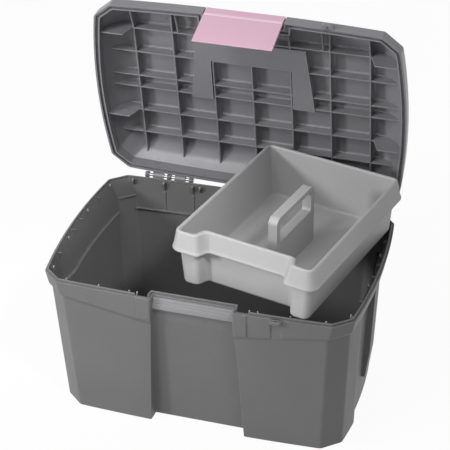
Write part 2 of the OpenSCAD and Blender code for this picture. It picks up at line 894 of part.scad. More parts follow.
box_body();
lid();
front_latch();
latch_pin();
carry_handle();
hinge_pin_left();
hinge_pin_right();
tray();
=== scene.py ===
import math
import bmesh
import bpy
from mathutils import Matrix, Vector


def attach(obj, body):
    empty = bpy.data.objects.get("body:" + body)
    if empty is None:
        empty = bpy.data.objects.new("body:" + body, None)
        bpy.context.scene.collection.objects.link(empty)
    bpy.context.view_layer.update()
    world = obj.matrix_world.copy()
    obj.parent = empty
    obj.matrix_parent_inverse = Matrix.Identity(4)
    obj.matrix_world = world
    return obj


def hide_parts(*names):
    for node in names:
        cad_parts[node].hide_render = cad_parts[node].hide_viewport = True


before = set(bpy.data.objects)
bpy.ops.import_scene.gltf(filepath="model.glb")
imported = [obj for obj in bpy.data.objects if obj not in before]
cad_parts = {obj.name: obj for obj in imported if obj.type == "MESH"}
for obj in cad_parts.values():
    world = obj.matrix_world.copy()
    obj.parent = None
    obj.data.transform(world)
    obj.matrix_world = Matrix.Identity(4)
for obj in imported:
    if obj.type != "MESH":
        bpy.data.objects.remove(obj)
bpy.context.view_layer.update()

# Sizes in millimetres and angles in degrees. Most are the part's own, and the rest shape fine detail.

# Box body
BOX_W, BOX_D, BOX_H, WALL, FLOOR_T = 400, 266, 197, 2.6, 2.8
END_BOW, FRONT_BOW, CORNER_X, CORNER_Y = 8, 4.5, 22, 19
DRAFT_X, DRAFT_Y = 8.5, 13
FRONT_SLANT, END_SLANT = 1.2, 24
RECESS_TOP, RECESS_FOOT, RECESS_IN, RECESS_LEAN = 101, 120, 11, 5
PANEL_TOP, PANEL_FOOT, END_SET = 66, 54, 6
CORNER_EASE, FOOT_EDGE, FLOOR_EDGE = 2.5, 2.5, 3
OUTER_ROWS, INNER_ROWS = (30, 80, 130), (120, 60)
# How far a piece runs into the one that carries it
EMBED = 1.2

# Band and lip of the rim
BAND_MID_H, BAND_H, BAND_END, BAND_FRONT = 34, 17, 5.5, 2
BAND_SLOPE, BAND_INNER_DROP, BAND_EDGE_X, BAND_EDGE_Y = 5, 6, 3.5, 0.6
SHOULDER, LIP_H, LIP_T, LIP_ROOT = 2.6, 3, 1.8, 1.5
RIM_NOTCH_W, LIP_END = 15, 2
RIM_T = SHOULDER + LIP_T
LIP_Z = BOX_H + LIP_H

# Pillars on the ends, and blocks beside the set-back panel
PILLAR_W, PILLAR_Z, PILLAR_CHAMFER_H, PILLAR_CHAMFER, PILLAR_SET, PILLAR_LAP = 22, 42, 40, 5, 1, 1
PANEL_BLOCK_W, PANEL_BLOCK_OUT, PANEL_BLOCK_H = 16, 1, 30

# Padlock ears, and the pocket under the lower one
EAR_X, EAR_W, EAR_R, EAR_T, EAR_OUT, PADLOCK_R = 103, 15, 3.9, 4, 1.9, 1.75
EAR_POCKET_W, EAR_POCKET_IN, EAR_POCKET_SIDE = 13, 1.6, 0.6
EAR_ROOF, EAR_ROOF_SHARE = 1.6, 0.6
POCKET_HALF = EAR_POCKET_W / 2

# Stiffeners and pegs at the rim, and ledges, finer than the solid's, and low ribs on the inner walls
STIFFENER_IN, STIFFENER_DEPTH, STIFFENER_T = 3.8, 6.4, 1.6
STIFFENER_DROP, STIFFENER_NOSE, STIFFENER_H, STUB_H = 0.4, 3, 14, 9
PEG_IN, PEG_R, PEG_UP, PEG_ROOT, PEG_CROWN = 8.9, 0.9, 1.9, 3, 0.7
# Places of the stiffeners as shares of half a wall, and how far down from the rim they reach
FRONT_STIFFENERS = ((0.41, STUB_H), (0.47, STIFFENER_H), (0.7, STIFFENER_H), (0.95, STUB_H))
END_STIFFENERS = ((0.12, STIFFENER_H), (0.31, STUB_H), (0.62, STIFFENER_H), (0.92, STUB_H))
WALL_RIB_W, WALL_RIB_OUT = 3, 1
LEDGE_DROP, LEDGE_W, LEDGE_T, CORNER_LEDGE_DROP, CORNER_LEDGE_W = 41, 3.4, 1.8, 22, 4.4

# Catch and its ridges: half length along the slope, height, and its parts outwards and upwards
CATCH_OUT, CATCH_H, CATCH_DROP, CATCH_LIP = 5, 13, 2, 3
RIDGES, RIDGE_HALF, RIDGE_H, RIDGE_OUT, RIDGE_UP = 3, 0.05, 0.5, 0.9, 0.3

# Lid
LID_H, LID_OPEN, FLANGE_H, LID_IN, LID_EDGE = 37, 80.5, 14, 20, 2
FLANGE_STEP, FLANGE_EDGE, LID_GAP, LID_BEND, EDGE_SHARE = 4, 0.5, 0.3, 17, 0.3
SKIRT_T, GROOVE_H, GROOVE_W, INNER_LIP_T, INNER_LIP_GAP = 2.1, 4, 3.7, 1.6, 0.6
LIP_IN = SKIRT_T + GROOVE_W + INNER_LIP_T
LID_TOP = BOX_H + LID_H

# Ribs inside the lid, and webs between them and the rim
RIB_T, RIB_PLANE, RIB_PITCH, RIB_COUNT = 1.8, 22, 50, 3
RIB_TAPER, RIB_FILLET, RIB_ROOT, RIB_END_IN, RIB_INTO_POCKET = 0.25, 3, 0.8, 0.6, 1.1
RIB_ROWS = (-82, -46, -9, 9, 46, 82)
WEB_ROWS, WEB_COLUMNS, WEB_RISE, WEB_TOP = (-82, 46), (50, 92, 150), 12, 13
GUSSET_FLAT, GUSSET_RUN, GUSSET_GAP = 30, 8, 5

# Hinges
HINGE_X, LUG_PITCH, LUG_W, BARREL_W, LUG_R, PIN_R = 115, 30, 5, 14, 4, 2
HINGE_RISE, PLATE_T, LUG_DROP, PIN_OVER, PIN_SLIP, PIN_CROWN = 1.2, 3.4, 1, 1.5, 0.06, 0.5
HINGE_Y = BOX_D / 2 + LUG_R
HINGE_Z = BOX_H + 1.5 * LID_GAP + HINGE_RISE

# Latch
LATCH_W, LATCH_T, LATCH_DROP, LATCH_PIN_R, LATCH_LEAN = 98, 3.2, 50, 1.5, 5
LATCH_FACE_IN, LATCH_EDGE, LATCH_TAPER, LATCH_CLEAR = 0.4, 1.4, 8, 0.8
LATCH_BARREL_T, LATCH_BACK_GAP, LATCH_AXIS_DROP = 1.9, 1.6, 4
LATCH_PIN_IN, LATCH_PIN_PLAY, LATCH_PIN_CROWN = 4, 1, 0.4
HOOK_GAP, HOOK_H, HOOK_IN = 0.5, 4, 3
CREASE_GAP, CREASE_R, CREASE_IN = 2.2, 0.4, 1
LATCH_R = LATCH_PIN_R + LATCH_BARREL_T
LATCH_Y = -BOX_D / 2 + RECESS_IN - LATCH_R - LATCH_BACK_GAP
LATCH_Z = BOX_H + FLANGE_H - LATCH_AXIS_DROP

# Carry handle and its pocket
HANDLE_GAP, GRIP_W, HANDLE_T, REACH, PIVOT_R, PIVOT_Y = 112, 24, 10, 73, 3, -2
PIVOT_DROP, PIVOT_IN = 7.5, 9
POCKET_CLEAR, POCKET_WALL, POCKET_DEPTH, POCKET_BACK, POCKET_FLARE = 1.8, 2.2, 14, 12, 10
PIVOT_Z = LID_TOP - PIVOT_DROP

# Tray
TRAY_W, TRAY_D, TRAY_H, TRAY_T, SKIRT_H, TRAY_TURN = 183, 234, 72, 2.4, 26, 13.2
TRAY_R, TRAY_MID, TRAY_SET, TRAY_SLANT, TRAY_END_GAP, SEAT_GAP = 9, 122, 15, 5, 8.8, 0.3
TRAY_SWELL, TRAY_EASE, SKIRT_BEAD, SKIRT_ROOT = 0.4, 6, 5, 1.5
FOOT_IN_X, FOOT_IN_Y, SKIRT_FLARE, TRAY_RIM_W, NECK_DROP = 7.5, 3.5, 5, 5, 6
TRAY_FILLET, FILLET_MID, FILLET_X, FILLET_Y = 5, 1.4, 0.2, 0.1
# Bead on the skirt's lower edge: height over the edge, and distance in from the widest place
BEAD = ((0, 1.6), (0.3, 0.8), (1, 0.2), (2.2, 0), (3.6, 0.5), (SKIRT_BEAD, 1.2), (SKIRT_BEAD + 2, 1.7))
POST_T, POST_L, POST_H, POST_R, POST_X, POST_Y = 12, 95, 82, 9, 0.7, -7.5
SLOT_L, SLOT_H, SLOT_TOP, SLOT_R = 79, 27, 6.5, 4

# Numbers of steps along the outline of the box: recess, set-back end, rest of the end, half the back
MID_N, PANEL_N, END_N, BACK_N = 8, 6, 18, 14
# Numbers of steps on curves, and along the tray's sides and half its back
EAR_N, BEND_N, FILLET_N, TRAY_LIP_N, TRAY_EASE_N, TRAY_SIDE_N, TRAY_BACK_N = 40, 6, 5, 8, 6, 10, 6
# Loss of length at each end of a wall when a cut corner is moved in by one
LOSS = 2 - math.sqrt(2)

# Plastic: scales of its noise, depths of grain and flow marks and radius of the painted edge highlights in
# metres
CLOUD_SCALE, SPECK_SCALE, GLOSS_SCALE, FLOW_SCALE = 9, 900, 35, 14
GRAIN_DEPTH, FLOW_DEPTH, EDGE_HIGHLIGHT_R, SPECULAR = 0.0003, 0.002, 0.0012, 0.42

# Lamps: name, kind, place and aim in metres, watts, size in metres
LAMPS = (
    ("key", "AREA", (-1.42, -1.15, 0.95), (0, 0, 0.25), 23, 0.3),
    ("sheen", "AREA", (-0.72, -1.56, 2.05), (0, 0.1, 0.3), 17, 0.6),
    ("top", "AREA", (0.2, -0.2, 2.6), (0, 0, 0.2), 5, 0.6),
    ("inside", "SPOT", (0.75, -0.75, 1.5), (-0.16, 0, 0.12), 150, 0.15),
)
SPOT_CONE, WORLD_LIGHT, FLOOR_WHITE = 11, 0.42, 0.95
# Floor in metres: half its width, and how far it lies under the foot
FLOOR_HALF, FLOOR_DROP = 14, 0.0004
# Camera as fitted to the photo, lengths of the lens and the sensor in millimetres, place in metres
CAM_AZIMUTH, CAM_ELEVATION, CAM_ROLL = 17.078, 32.599, -0.654
CAM_LENS, CAM_SENSOR = 132.03, 36
CAM_PLACE = (0.50142, -1.62318, 1.31461)


# Outlines of the box
def bow(reach, half, s):
    """Bulge of a bowed wall at the distance s from its middle."""
    return reach * (1 - (s / half) ** 2)


def lean(z):
    """Share of the draft at a height: none at the rim, all of it at the foot."""
    return 1 - z / BOX_H


def in_x(z):
    """How far the ends stand in from the rim."""
    return BAND_END + DRAFT_X * lean(z)


def in_y(z):
    """How far the front and the back stand in from the rim."""
    return BAND_FRONT + DRAFT_Y * lean(z)


def recess_half(z):
    """Half the width of the set-back front panel."""
    return (RECESS_TOP + (RECESS_FOOT - RECESS_TOP) * lean(z)) / 2


def recess_y(z):
    """Distance of the set-back front panel from the middle of the box."""
    return BOX_D / 2 - RECESS_IN - (BAND_FRONT + DRAFT_Y + RECESS_LEAN) * lean(z)


def panel_y(z):
    """Place on the ends where they step in."""
    return PANEL_TOP + (PANEL_FOOT - PANEL_TOP) * lean(z)


def front_x(dx, skin):
    """Half the length of the front wall, moved in by dx and by the skin."""
    return BOX_W / 2 - END_BOW - dx - skin - CORNER_X + LOSS * skin


def front_y(dy, skin):
    """Distance of the front wall's ends from the middle of the box."""
    return BOX_D / 2 - FRONT_BOW - dy - skin


def end_x(dx, skin):
    """Distance of the end walls' corners from the middle of the box."""
    return BOX_W / 2 - END_BOW - dx - skin


def end_y(dy, skin):
    """Half the length of an end wall."""
    return front_y(dy, skin) - CORNER_Y + LOSS * skin


def steps(a, b, n):
    """Even steps from a to b."""
    return [a + (b - a) * k / n for k in range(n + 1)]


def columns(nh, xf):
    """Places along half the front wall, with pairs at the edges of the pocket under the padlock ear."""
    edges = [EAR_X + side * POCKET_HALF + k * EAR_POCKET_SIDE for side in (-1, 1) for k in (-1, 1)]
    near = [nh + (xf - nh) * t for t in (0, 0.1, 0.2, 0.3)]
    far = [nh + (xf - nh) * t for t in (0.6, 0.7, 0.8, 0.9, 1)]
    return near + edges + far


def eased(p, q, r, ease=CORNER_EASE, n=4):
    """Points that round the corner q on the way from p to r."""
    p, q, r = Vector(p), Vector(q), Vector(r)
    ease = min(ease, 0.45 * (p - q).length, 0.45 * (r - q).length)
    a, b = q + (p - q).normalized() * ease, q + (r - q).normalized() * ease
    return [tuple(a * (1 - t) ** 2 + q * 2 * t * (1 - t) + b * t * t) for t in steps(0, 1, n)]


def box_plan(dx, dy, skin, notch_half, notch_y, panel, end_set):
    """Outline of the box, counter-clockwise from the set-back front panel, as in the source but finer."""
    xf, yf, xe, ye = front_x(dx, skin), front_y(dy, skin), end_x(dx, skin), end_y(dy, skin)
    nh = notch_half + skin
    ns = nh - FRONT_SLANT
    ny = min(notch_y - skin, yf + bow(FRONT_BOW, xf, nh))
    mid = [(x, -ny) for x in steps(-ns, ns, MID_N)]
    front = [(x, -yf - bow(FRONT_BOW, xf, x)) for x in columns(nh, xf)]
    side = [(xe + bow(END_BOW, ye, y), y) for y in steps(-ye, -panel - skin, PANEL_N)]
    side += [(xe + bow(END_BOW, ye, y) - end_set, y) for y in steps(END_SLANT - panel - skin, ye, END_N)]
    back = [(x, yf + bow(FRONT_BOW, xf, x)) for x in steps(xf - end_set, 0, BACK_N)]
    right = front[:-1] + eased(front[-2], front[-1], side[0])
    right += eased(front[-1], side[0], side[1]) + side[1:-1]
    right += eased(side[-2], side[-1], back[0]) + eased(side[-1], back[0], back[1]) + back[1:]
    return mid + right + [(-x, y) for x, y in reversed(right[:-1])]


def raised(points, z):
    """Plan at a height."""
    return [(x, y, z) for x, y in points]


def body_plan(z, skin):
    """Outline of the tub at a height."""
    return box_plan(in_x(z), in_y(z), skin, recess_half(z), recess_y(z), panel_y(z), END_SET)


def band_plan(z, dx, dy, skin):
    """Outline of the rim band, which has no step on the ends."""
    return box_plan(dx, dy, skin, recess_half(z), recess_y(z), panel_y(z), 0)


def band_ring(points, drop):
    """Ring on the band's lower edge, which drops towards the set-back front panel."""
    inner, outer = RECESS_TOP / 2, front_x(0, 0)
    ring = []
    for x, y in points:
        share = min(1, max(0, (outer - abs(x)) / (outer - inner))) if y < 0 else 0
        ring.append((x, y, BOX_H - BAND_H - (BAND_MID_H - BAND_H) * share - drop))
    return ring


def blend(a, b, t):
    """Ring part of the way from a to b."""
    return [tuple(Vector(p).lerp(Vector(q), t)) for p, q in zip(a, b)]


class Shape:
    """Mesh in millimetres, built up from lofts, prisms and turned pieces."""

    def __init__(self):
        self.bm = bmesh.new()

    def face(self, verts):
        """Face over three points or more, unless it is there already."""
        if len(set(verts)) > 2 and not self.bm.faces.get(verts):
            self.bm.faces.new(verts)

    def loft(self, rings, first=True, last=True):
        """Skin over rings with equal numbers of points, closed at the first and the last if asked."""
        rows = [[self.bm.verts.new(p) for p in ring] for ring in rings]
        n = len(rows[0])
        for a, b in zip(rows, rows[1:]):
            for i in range(n):
                j = (i + 1) % n
                self.face([a[i], a[j], b[j], b[i]])
        if first:
            self.face(list(reversed(rows[0])))
        if last:
            self.face(rows[-1])
        return rows

    def prism(self, points, axis, lo, hi):
        """Outline drawn along an axis: (y, z) along x, (x, z) along y, (x, y) along z."""
        place = {"x": lambda t, p: (t, p[0], p[1]), "y": lambda t, p: (p[0], t, p[1]),
                 "z": lambda t, p: (p[0], p[1], t)}[axis]
        self.loft([[place(lo, p) for p in points], [place(hi, p) for p in points]])

    def block(self, x0, x1, y0, y1, z0, z1):
        """Box between the given planes."""
        self.prism([(x0, y0), (x1, y0), (x1, y1), (x0, y1)], "z", z0, z1)

    def rod(self, r, lo, hi, at, axis="x", n=28, hole=0.0, crown=0.0):
        """Round rod along x or z, with a bore, rounded ends or plain ends."""
        def ring(rad, t):
            turns = [2 * math.pi * k / n for k in range(n)]
            pts = [(rad * math.cos(turn), rad * math.sin(turn)) for turn in turns]
            if axis == "x":
                return [(t, at[0] + a, at[1] + b) for a, b in pts]
            return [(at[0] + a, at[1] + b, t) for a, b in pts]

        if hole:
            rows = [ring(hole, lo), ring(r, lo), ring(r, hi), ring(hole, hi), ring(hole, lo)]
            self.loft(rows, False, False)
        elif crown:
            curve = ((0.45, 0.9), (0.8, 0.6), (1, 0))
            rows = [ring(r * c, lo + crown * (1 - s)) for c, s in curve]
            rows += [ring(r * c, hi - crown * (1 - s)) for c, s in reversed(curve)]
            self.loft(rows)
        else:
            self.loft([ring(r, lo), ring(r, hi)])

    def ear(self, z):
        """Long padlock ear with rounded ends and a hole, standing on height z."""
        turn = [math.radians(360 * (k + 0.5) / EAR_N) for k in range(EAR_N)]
        half = EAR_W / 2 - EAR_R
        y = ear_y() - EAR_OUT
        hole = [(EAR_X + PADLOCK_R * math.cos(a), y + PADLOCK_R * math.sin(a)) for a in turn]
        edge = [(EAR_X + math.copysign(half, math.cos(a)) + EAR_R * math.cos(a), y + EAR_R * math.sin(a))
                for a in turn]
        top = z + EAR_T
        rows = [raised(hole, z), raised(edge, z), raised(edge, top), raised(hole, top), raised(hole, z)]
        self.loft(rows, False, False)

    def finish(self, name, matrix, material, body, nodes, bevel, segments=2, angle=24):
        """Turn the mesh into a piece in metres that rides on a body and dresses the given nodes."""
        bmesh.ops.remove_doubles(self.bm, verts=self.bm.verts, dist=0.002)
        bmesh.ops.recalc_face_normals(self.bm, faces=self.bm.faces)
        mesh = bpy.data.meshes.new(name)
        self.bm.to_mesh(mesh)
        self.bm.free()
        mesh.transform(Matrix.Scale(0.001, 4) @ matrix)
        # Lofted walls are smooth, and caps stay flat
        for p in mesh.polygons:
            p.use_smooth = len(p.vertices) == 4
        obj = bpy.data.objects.new(name, mesh)
        bpy.context.scene.collection.objects.link(obj)
        mesh.materials.append(material)
        if bevel:
            m = obj.modifiers.new("edges", "BEVEL")
            m.width = bevel * 0.001
            m.segments = segments
            m.limit_method = "ANGLE"
            m.angle_limit = math.radians(angle)
            m.use_clamp_overlap = True
            m.miter_outer = "MITER_ARC"
        w = obj.modifiers.new("normals", "WEIGHTED_NORMAL")
        w.weight = 50
        w.mode = "FACE_AREA"
        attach(obj, body)
        if nodes:
            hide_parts(*nodes)


# Materials
def plastic(name, colour, rough, grain, fleck=0.06, bump=0.1, flow_mark=0.05, edge=0.35):
    """Moulded plastic: cloudy tone, fine leathery grain, soft flow marks and edges painted paler as a
    highlight.
    """
    mat = bpy.data.materials.new(name)
    mat.use_nodes = True
    nt = mat.node_tree
    nodes, link = nt.nodes, nt.links.new
    bsdf = nodes["Principled BSDF"]
    bsdf.inputs["Specular IOR Level"].default_value = SPECULAR
    geo = nodes.new("ShaderNodeNewGeometry")
    coord = nodes.new("ShaderNodeTexCoord")

    def noise(scale, detail, stretch=(1, 1, 1)):
        m = nodes.new("ShaderNodeMapping")
        m.inputs["Scale"].default_value = stretch
        t = nodes.new("ShaderNodeTexNoise")
        t.inputs["Scale"].default_value = scale
        t.inputs["Detail"].default_value = detail
        link(coord.outputs["Object"], m.inputs["Vector"])
        link(m.outputs["Vector"], t.inputs["Vector"])
        return t.outputs["Fac"]

    def ramp(fac, stops):
        r = nodes.new("ShaderNodeValToRGB")
        r.color_ramp.elements[0].position, r.color_ramp.elements[0].color = stops[0]
        r.color_ramp.elements[1].position, r.color_ramp.elements[1].color = stops[-1]
        for p, c in stops[1:-1]:
            r.color_ramp.elements.new(p).color = c
        link(fac, r.inputs["Fac"])
        return r.outputs["Color"]

    def grey(v):
        return (v, v, v, 1)

    def shade(k):
        return tuple(min(1, c * k) for c in colour) + (1,)

    tones = [(0.3, shade(1 - fleck)), (0.5, shade(1)), (0.72, shade(1 + fleck))]
    cloud = ramp(noise(CLOUD_SCALE, 3), tones)
    speck = ramp(noise(SPECK_SCALE, 2), [(0.35, grey(1 - fleck)), (0.65, grey(1 + 0.4 * fleck))])
    mix = nodes.new("ShaderNodeMix")
    mix.data_type, mix.blend_type = "RGBA", "MULTIPLY"
    mix.inputs["Factor"].default_value = 1
    link(cloud, mix.inputs["A"])
    link(speck, mix.inputs["B"])
    edge_highlight = nodes.new("ShaderNodeMix")
    edge_highlight.data_type = "RGBA"
    # Edges are painted paler as a highlight, where the rounded normal turns away from the plain one
    round_off = nodes.new("ShaderNodeBevel")
    round_off.samples = 4
    round_off.inputs["Radius"].default_value = EDGE_HIGHLIGHT_R
    turn = nodes.new("ShaderNodeVectorMath")
    turn.operation = "DOT_PRODUCT"
    link(round_off.outputs["Normal"], turn.inputs[0])
    link(geo.outputs["Normal"], turn.inputs[1])
    link(ramp(turn.outputs["Value"], [(0.8, grey(edge)), (0.985, grey(0))]), edge_highlight.inputs["Factor"])
    link(mix.outputs["Result"], edge_highlight.inputs["A"])
    edge_highlight.inputs["B"].default_value = tuple(min(1, c * 1.7 + 0.04) for c in colour) + (1,)
    link(edge_highlight.outputs["Result"], bsdf.inputs["Base Color"])
    gloss = noise(GLOSS_SCALE, 4, (1, 1, 0.35))
    link(ramp(gloss, [(0.3, grey(rough - 0.03)), (0.7, grey(rough + 0.04))]), bsdf.inputs["Roughness"])
    fine = nodes.new("ShaderNodeBump")
    fine.inputs["Strength"].default_value = bump
    fine.inputs["Distance"].default_value = GRAIN_DEPTH
    link(noise(grain, 3), fine.inputs["Height"])
    flow = nodes.new("ShaderNodeBump")
    flow.inputs["Strength"].default_value = flow_mark
    flow.inputs["Distance"].default_value = FLOW_DEPTH
    link(noise(FLOW_SCALE, 2, (1, 1, 0.3)), flow.inputs["Height"])
    link(flow.outputs["Normal"], fine.inputs["Normal"])
    link(fine.outputs["Normal"], bsdf.inputs["Normal"])
    return mat


def steel(name):
    """Drawn wire with fine streaks along it."""
    mat = bpy.data.materials.new(name)
    mat.use_nodes = True
    nt = mat.node_tree
    bsdf = nt.nodes["Principled BSDF"]
    bsdf.inputs["Metallic"].default_value = 1
    coord = nt.nodes.new("ShaderNodeTexCoord")
    m = nt.nodes.new("ShaderNodeMapping")
    m.inputs["Scale"].default_value = (0.05, 1, 1)
    t = nt.nodes.new("ShaderNodeTexNoise")
    t.inputs["Scale"].default_value = 1200
    nt.links.new(coord.outputs["Object"], m.inputs["Vector"])
    nt.links.new(m.outputs["Vector"], t.inputs["Vector"])
    for socket, lo, hi in (("Base Color", 0.42, 0.6), ("Roughness", 0.24, 0.42)):
        r = nt.nodes.new("ShaderNodeValToRGB")
        r.color_ramp.elements[0].color = (lo, lo, lo, 1)
        r.color_ramp.elements[1].color = (hi, hi, hi * 1.02, 1)
        nt.links.new(t.outputs["Fac"], r.inputs["Fac"])
        nt.links.new(r.outputs["Color"], bsdf.inputs[socket])
    return mat


# The edge value of each plastic sets how strongly its painted edge highlight shows
BODY = plastic("body_plastic", (0.127, 0.127, 0.128), 0.5, 1500, edge=0.85)
# The catch is the body's grey painted lighter, a painted sheen on its sloping face
CATCH_SHEEN = plastic("catch_sheen_plastic", (0.21, 0.207, 0.215), 0.45, 1500)
# The pegs are painted paler than the body, as highlights on their tops
PEG_HIGHLIGHT = plastic("peg_highlight_plastic", (0.34, 0.34, 0.34), 0.4, 1500)
LID = plastic("lid_plastic", (0.2, 0.197, 0.21), 0.3, 1500, bump=0.05, flow_mark=0.02, edge=0.6)
TRAY = plastic("tray_plastic", (0.375, 0.378, 0.375), 0.5, 1300, fleck=0.04, edge=0.2)
PINK = plastic("latch_plastic", (0.65, 0.408, 0.524), 0.4, 1700, fleck=0.03, bump=0.05)
# The crease beads are painted paler than the clip, as a highlight along the bend
CREASE_HIGHLIGHT = plastic("crease_highlight_plastic", (0.74, 0.6, 0.67), 0.35, 1700, fleck=0.03, bump=0.05)
PIN = steel("pin_steel")

# Places of the pieces at rest: body as modelled, lid swung open, tray askew on the rim
HERE = Matrix.Identity(4)
FOOT_X, FOOT_Y, TURN = TRAY_W / 2 - FOOT_IN_X, TRAY_D / 2 - FOOT_IN_Y, math.radians(TRAY_TURN)
TRAY_X = BOX_W / 2 - TRAY_END_GAP - FOOT_X * math.cos(TURN) - FOOT_Y * math.sin(TURN)
TRAY_Y = FOOT_X * math.sin(TURN) + FOOT_Y * math.cos(TURN) - front_y(0, 0)
OPENED = (Matrix.Translation((0, HINGE_Y, HINGE_Z)) @ Matrix.Rotation(math.radians(-LID_OPEN), 4, "X")
          @ Matrix.Translation((0, -HINGE_Y, -HINGE_Z)))
TRAY_AT = Matrix.Translation((TRAY_X, TRAY_Y, LIP_Z + SEAT_GAP)) @ Matrix.Rotation(-TURN, 4, "Z")


# Body
def ear_y():
    """Front of the rim at the padlock ear."""
    return -front_y(0, 0) - bow(FRONT_BOW, front_x(0, 0), EAR_X)


def pocketed(ring):
    """Ring of the band, pressed in under the padlock ear."""
    floor = ear_y() + EAR_POCKET_IN
    return [(x, max(y, floor) if y < 0 and abs(x - EAR_X) < POCKET_HALF else y, z) for x, y, z in ring]


def make_body():
    """Shell of the tub with its band, pillars and blocks."""
    s = Shape()
    band_z = BOX_H - BAND_H
    low = band_z - BAND_SLOPE
    ear_z = BOX_H - EAR_T
    edge_x, edge_y = BAND_EDGE_X * (EAR_T / BAND_H), BAND_EDGE_Y * (EAR_T / BAND_H)
    s.loft([
        raised(body_plan(0, FOOT_EDGE), 0),
        raised(body_plan(FOOT_EDGE, 0), FOOT_EDGE),
        *(raised(body_plan(z, 0), z) for z in OUTER_ROWS),
        band_ring(body_plan(low, 0), BAND_SLOPE),
        pocketed(band_ring(band_plan(band_z, BAND_EDGE_X, BAND_EDGE_Y, 0), 0)),
        pocketed(raised(band_plan(BOX_H, edge_x, edge_y, 0), ear_z)),
        raised(band_plan(BOX_H, edge_x * EAR_ROOF_SHARE, edge_y * EAR_ROOF_SHARE, 0), ear_z + EAR_ROOF),
        raised(band_plan(BOX_H, 0, 0, 0), BOX_H),
        raised(band_plan(BOX_H, 0, 0, RIM_T), BOX_H),
        band_ring(body_plan(low, WALL), BAND_INNER_DROP),
        *(raised(body_plan(z, WALL), z) for z in INNER_ROWS),
        raised(body_plan(FLOOR_T + FLOOR_EDGE, WALL), FLOOR_T + FLOOR_EDGE),
        raised(body_plan(FLOOR_T, WALL + FLOOR_EDGE), FLOOR_T),
    ])

    # Pillars on the ends
    slope_z = PILLAR_Z + PILLAR_CHAMFER_H
    xh = end_x(BAND_EDGE_X, 0) + END_BOW - PILLAR_SET
    xm = xh - DRAFT_X * (band_z - slope_z) / BOX_H
    end = low - 2 * BAND_SLOPE

    def root(z):
        """Place inside the end wall that a pillar grows from."""
        return end_x(in_x(z), 0) + END_BOW - END_SET - EMBED

    prof = [(root(PILLAR_Z), PILLAR_Z), (xm - PILLAR_CHAMFER, PILLAR_Z), (xm, slope_z),
            (xh, band_z + PILLAR_LAP), (xh - EMBED, band_z + 2 * PILLAR_LAP), (root(end), end)]
    for sx in (-1, 1):
        s.prism([(sx * x, z) for x, z in prof], "y", -PILLAR_W / 2, PILLAR_W / 2)

    # Blocks beside the set-back panel
    inner = RECESS_TOP / 2 + FRONT_SLANT
    outer = inner + PANEL_BLOCK_W
    y = -front_y(0, 0) - bow(FRONT_BOW, front_x(0, 0), outer)
    for x0, x1 in ((-outer, -inner), (inner, outer)):
        s.block(x0, x1, y - PANEL_BLOCK_OUT, y + EMBED, BOX_H - PANEL_BLOCK_H, BOX_H)
    s.finish("body_shell", HERE, BODY, "body", ["box_body"], bevel=0.7, segments=3)


def make_lip():
    """Raised lip on the rim, with a gap on both sides of the set-back panel."""
    s = Shape()
    outer, inner = band_plan(BOX_H, 0, 0, SHOULDER), band_plan(BOX_H, 0, 0, RIM_T)
    gap = RECESS_TOP / 2 + RIM_T + RIM_NOTCH_W

    def section(o, i):
        """Section of the lip from its outer to its inner side."""
        return [(*o, BOX_H - LIP_ROOT), (*o, LIP_Z), (*i, LIP_Z), (*i, BOX_H - LIP_ROOT)]

    def end(sx):
        """Section at the gap."""
        return section(*((sx * gap, -front_y(0, t) - bow(FRONT_BOW, front_x(0, t), gap))
                         for t in (SHOULDER, RIM_T)))

    n = len(outer)
    sections = [section(o, i) for o, i in zip(outer, inner)]
    keep = [k for k in range(MID_N + 1, n) if inner[k][1] > 0 or abs(inner[k][0]) > gap + LIP_END]
    s.loft([end(1)] + [sections[k] for k in keep] + [end(-1)])
    s.loft([sections[n - 1]] + sections[:MID_N + 2])
    s.finish("rim_lip", HERE, BODY, "body", [], bevel=0.45)


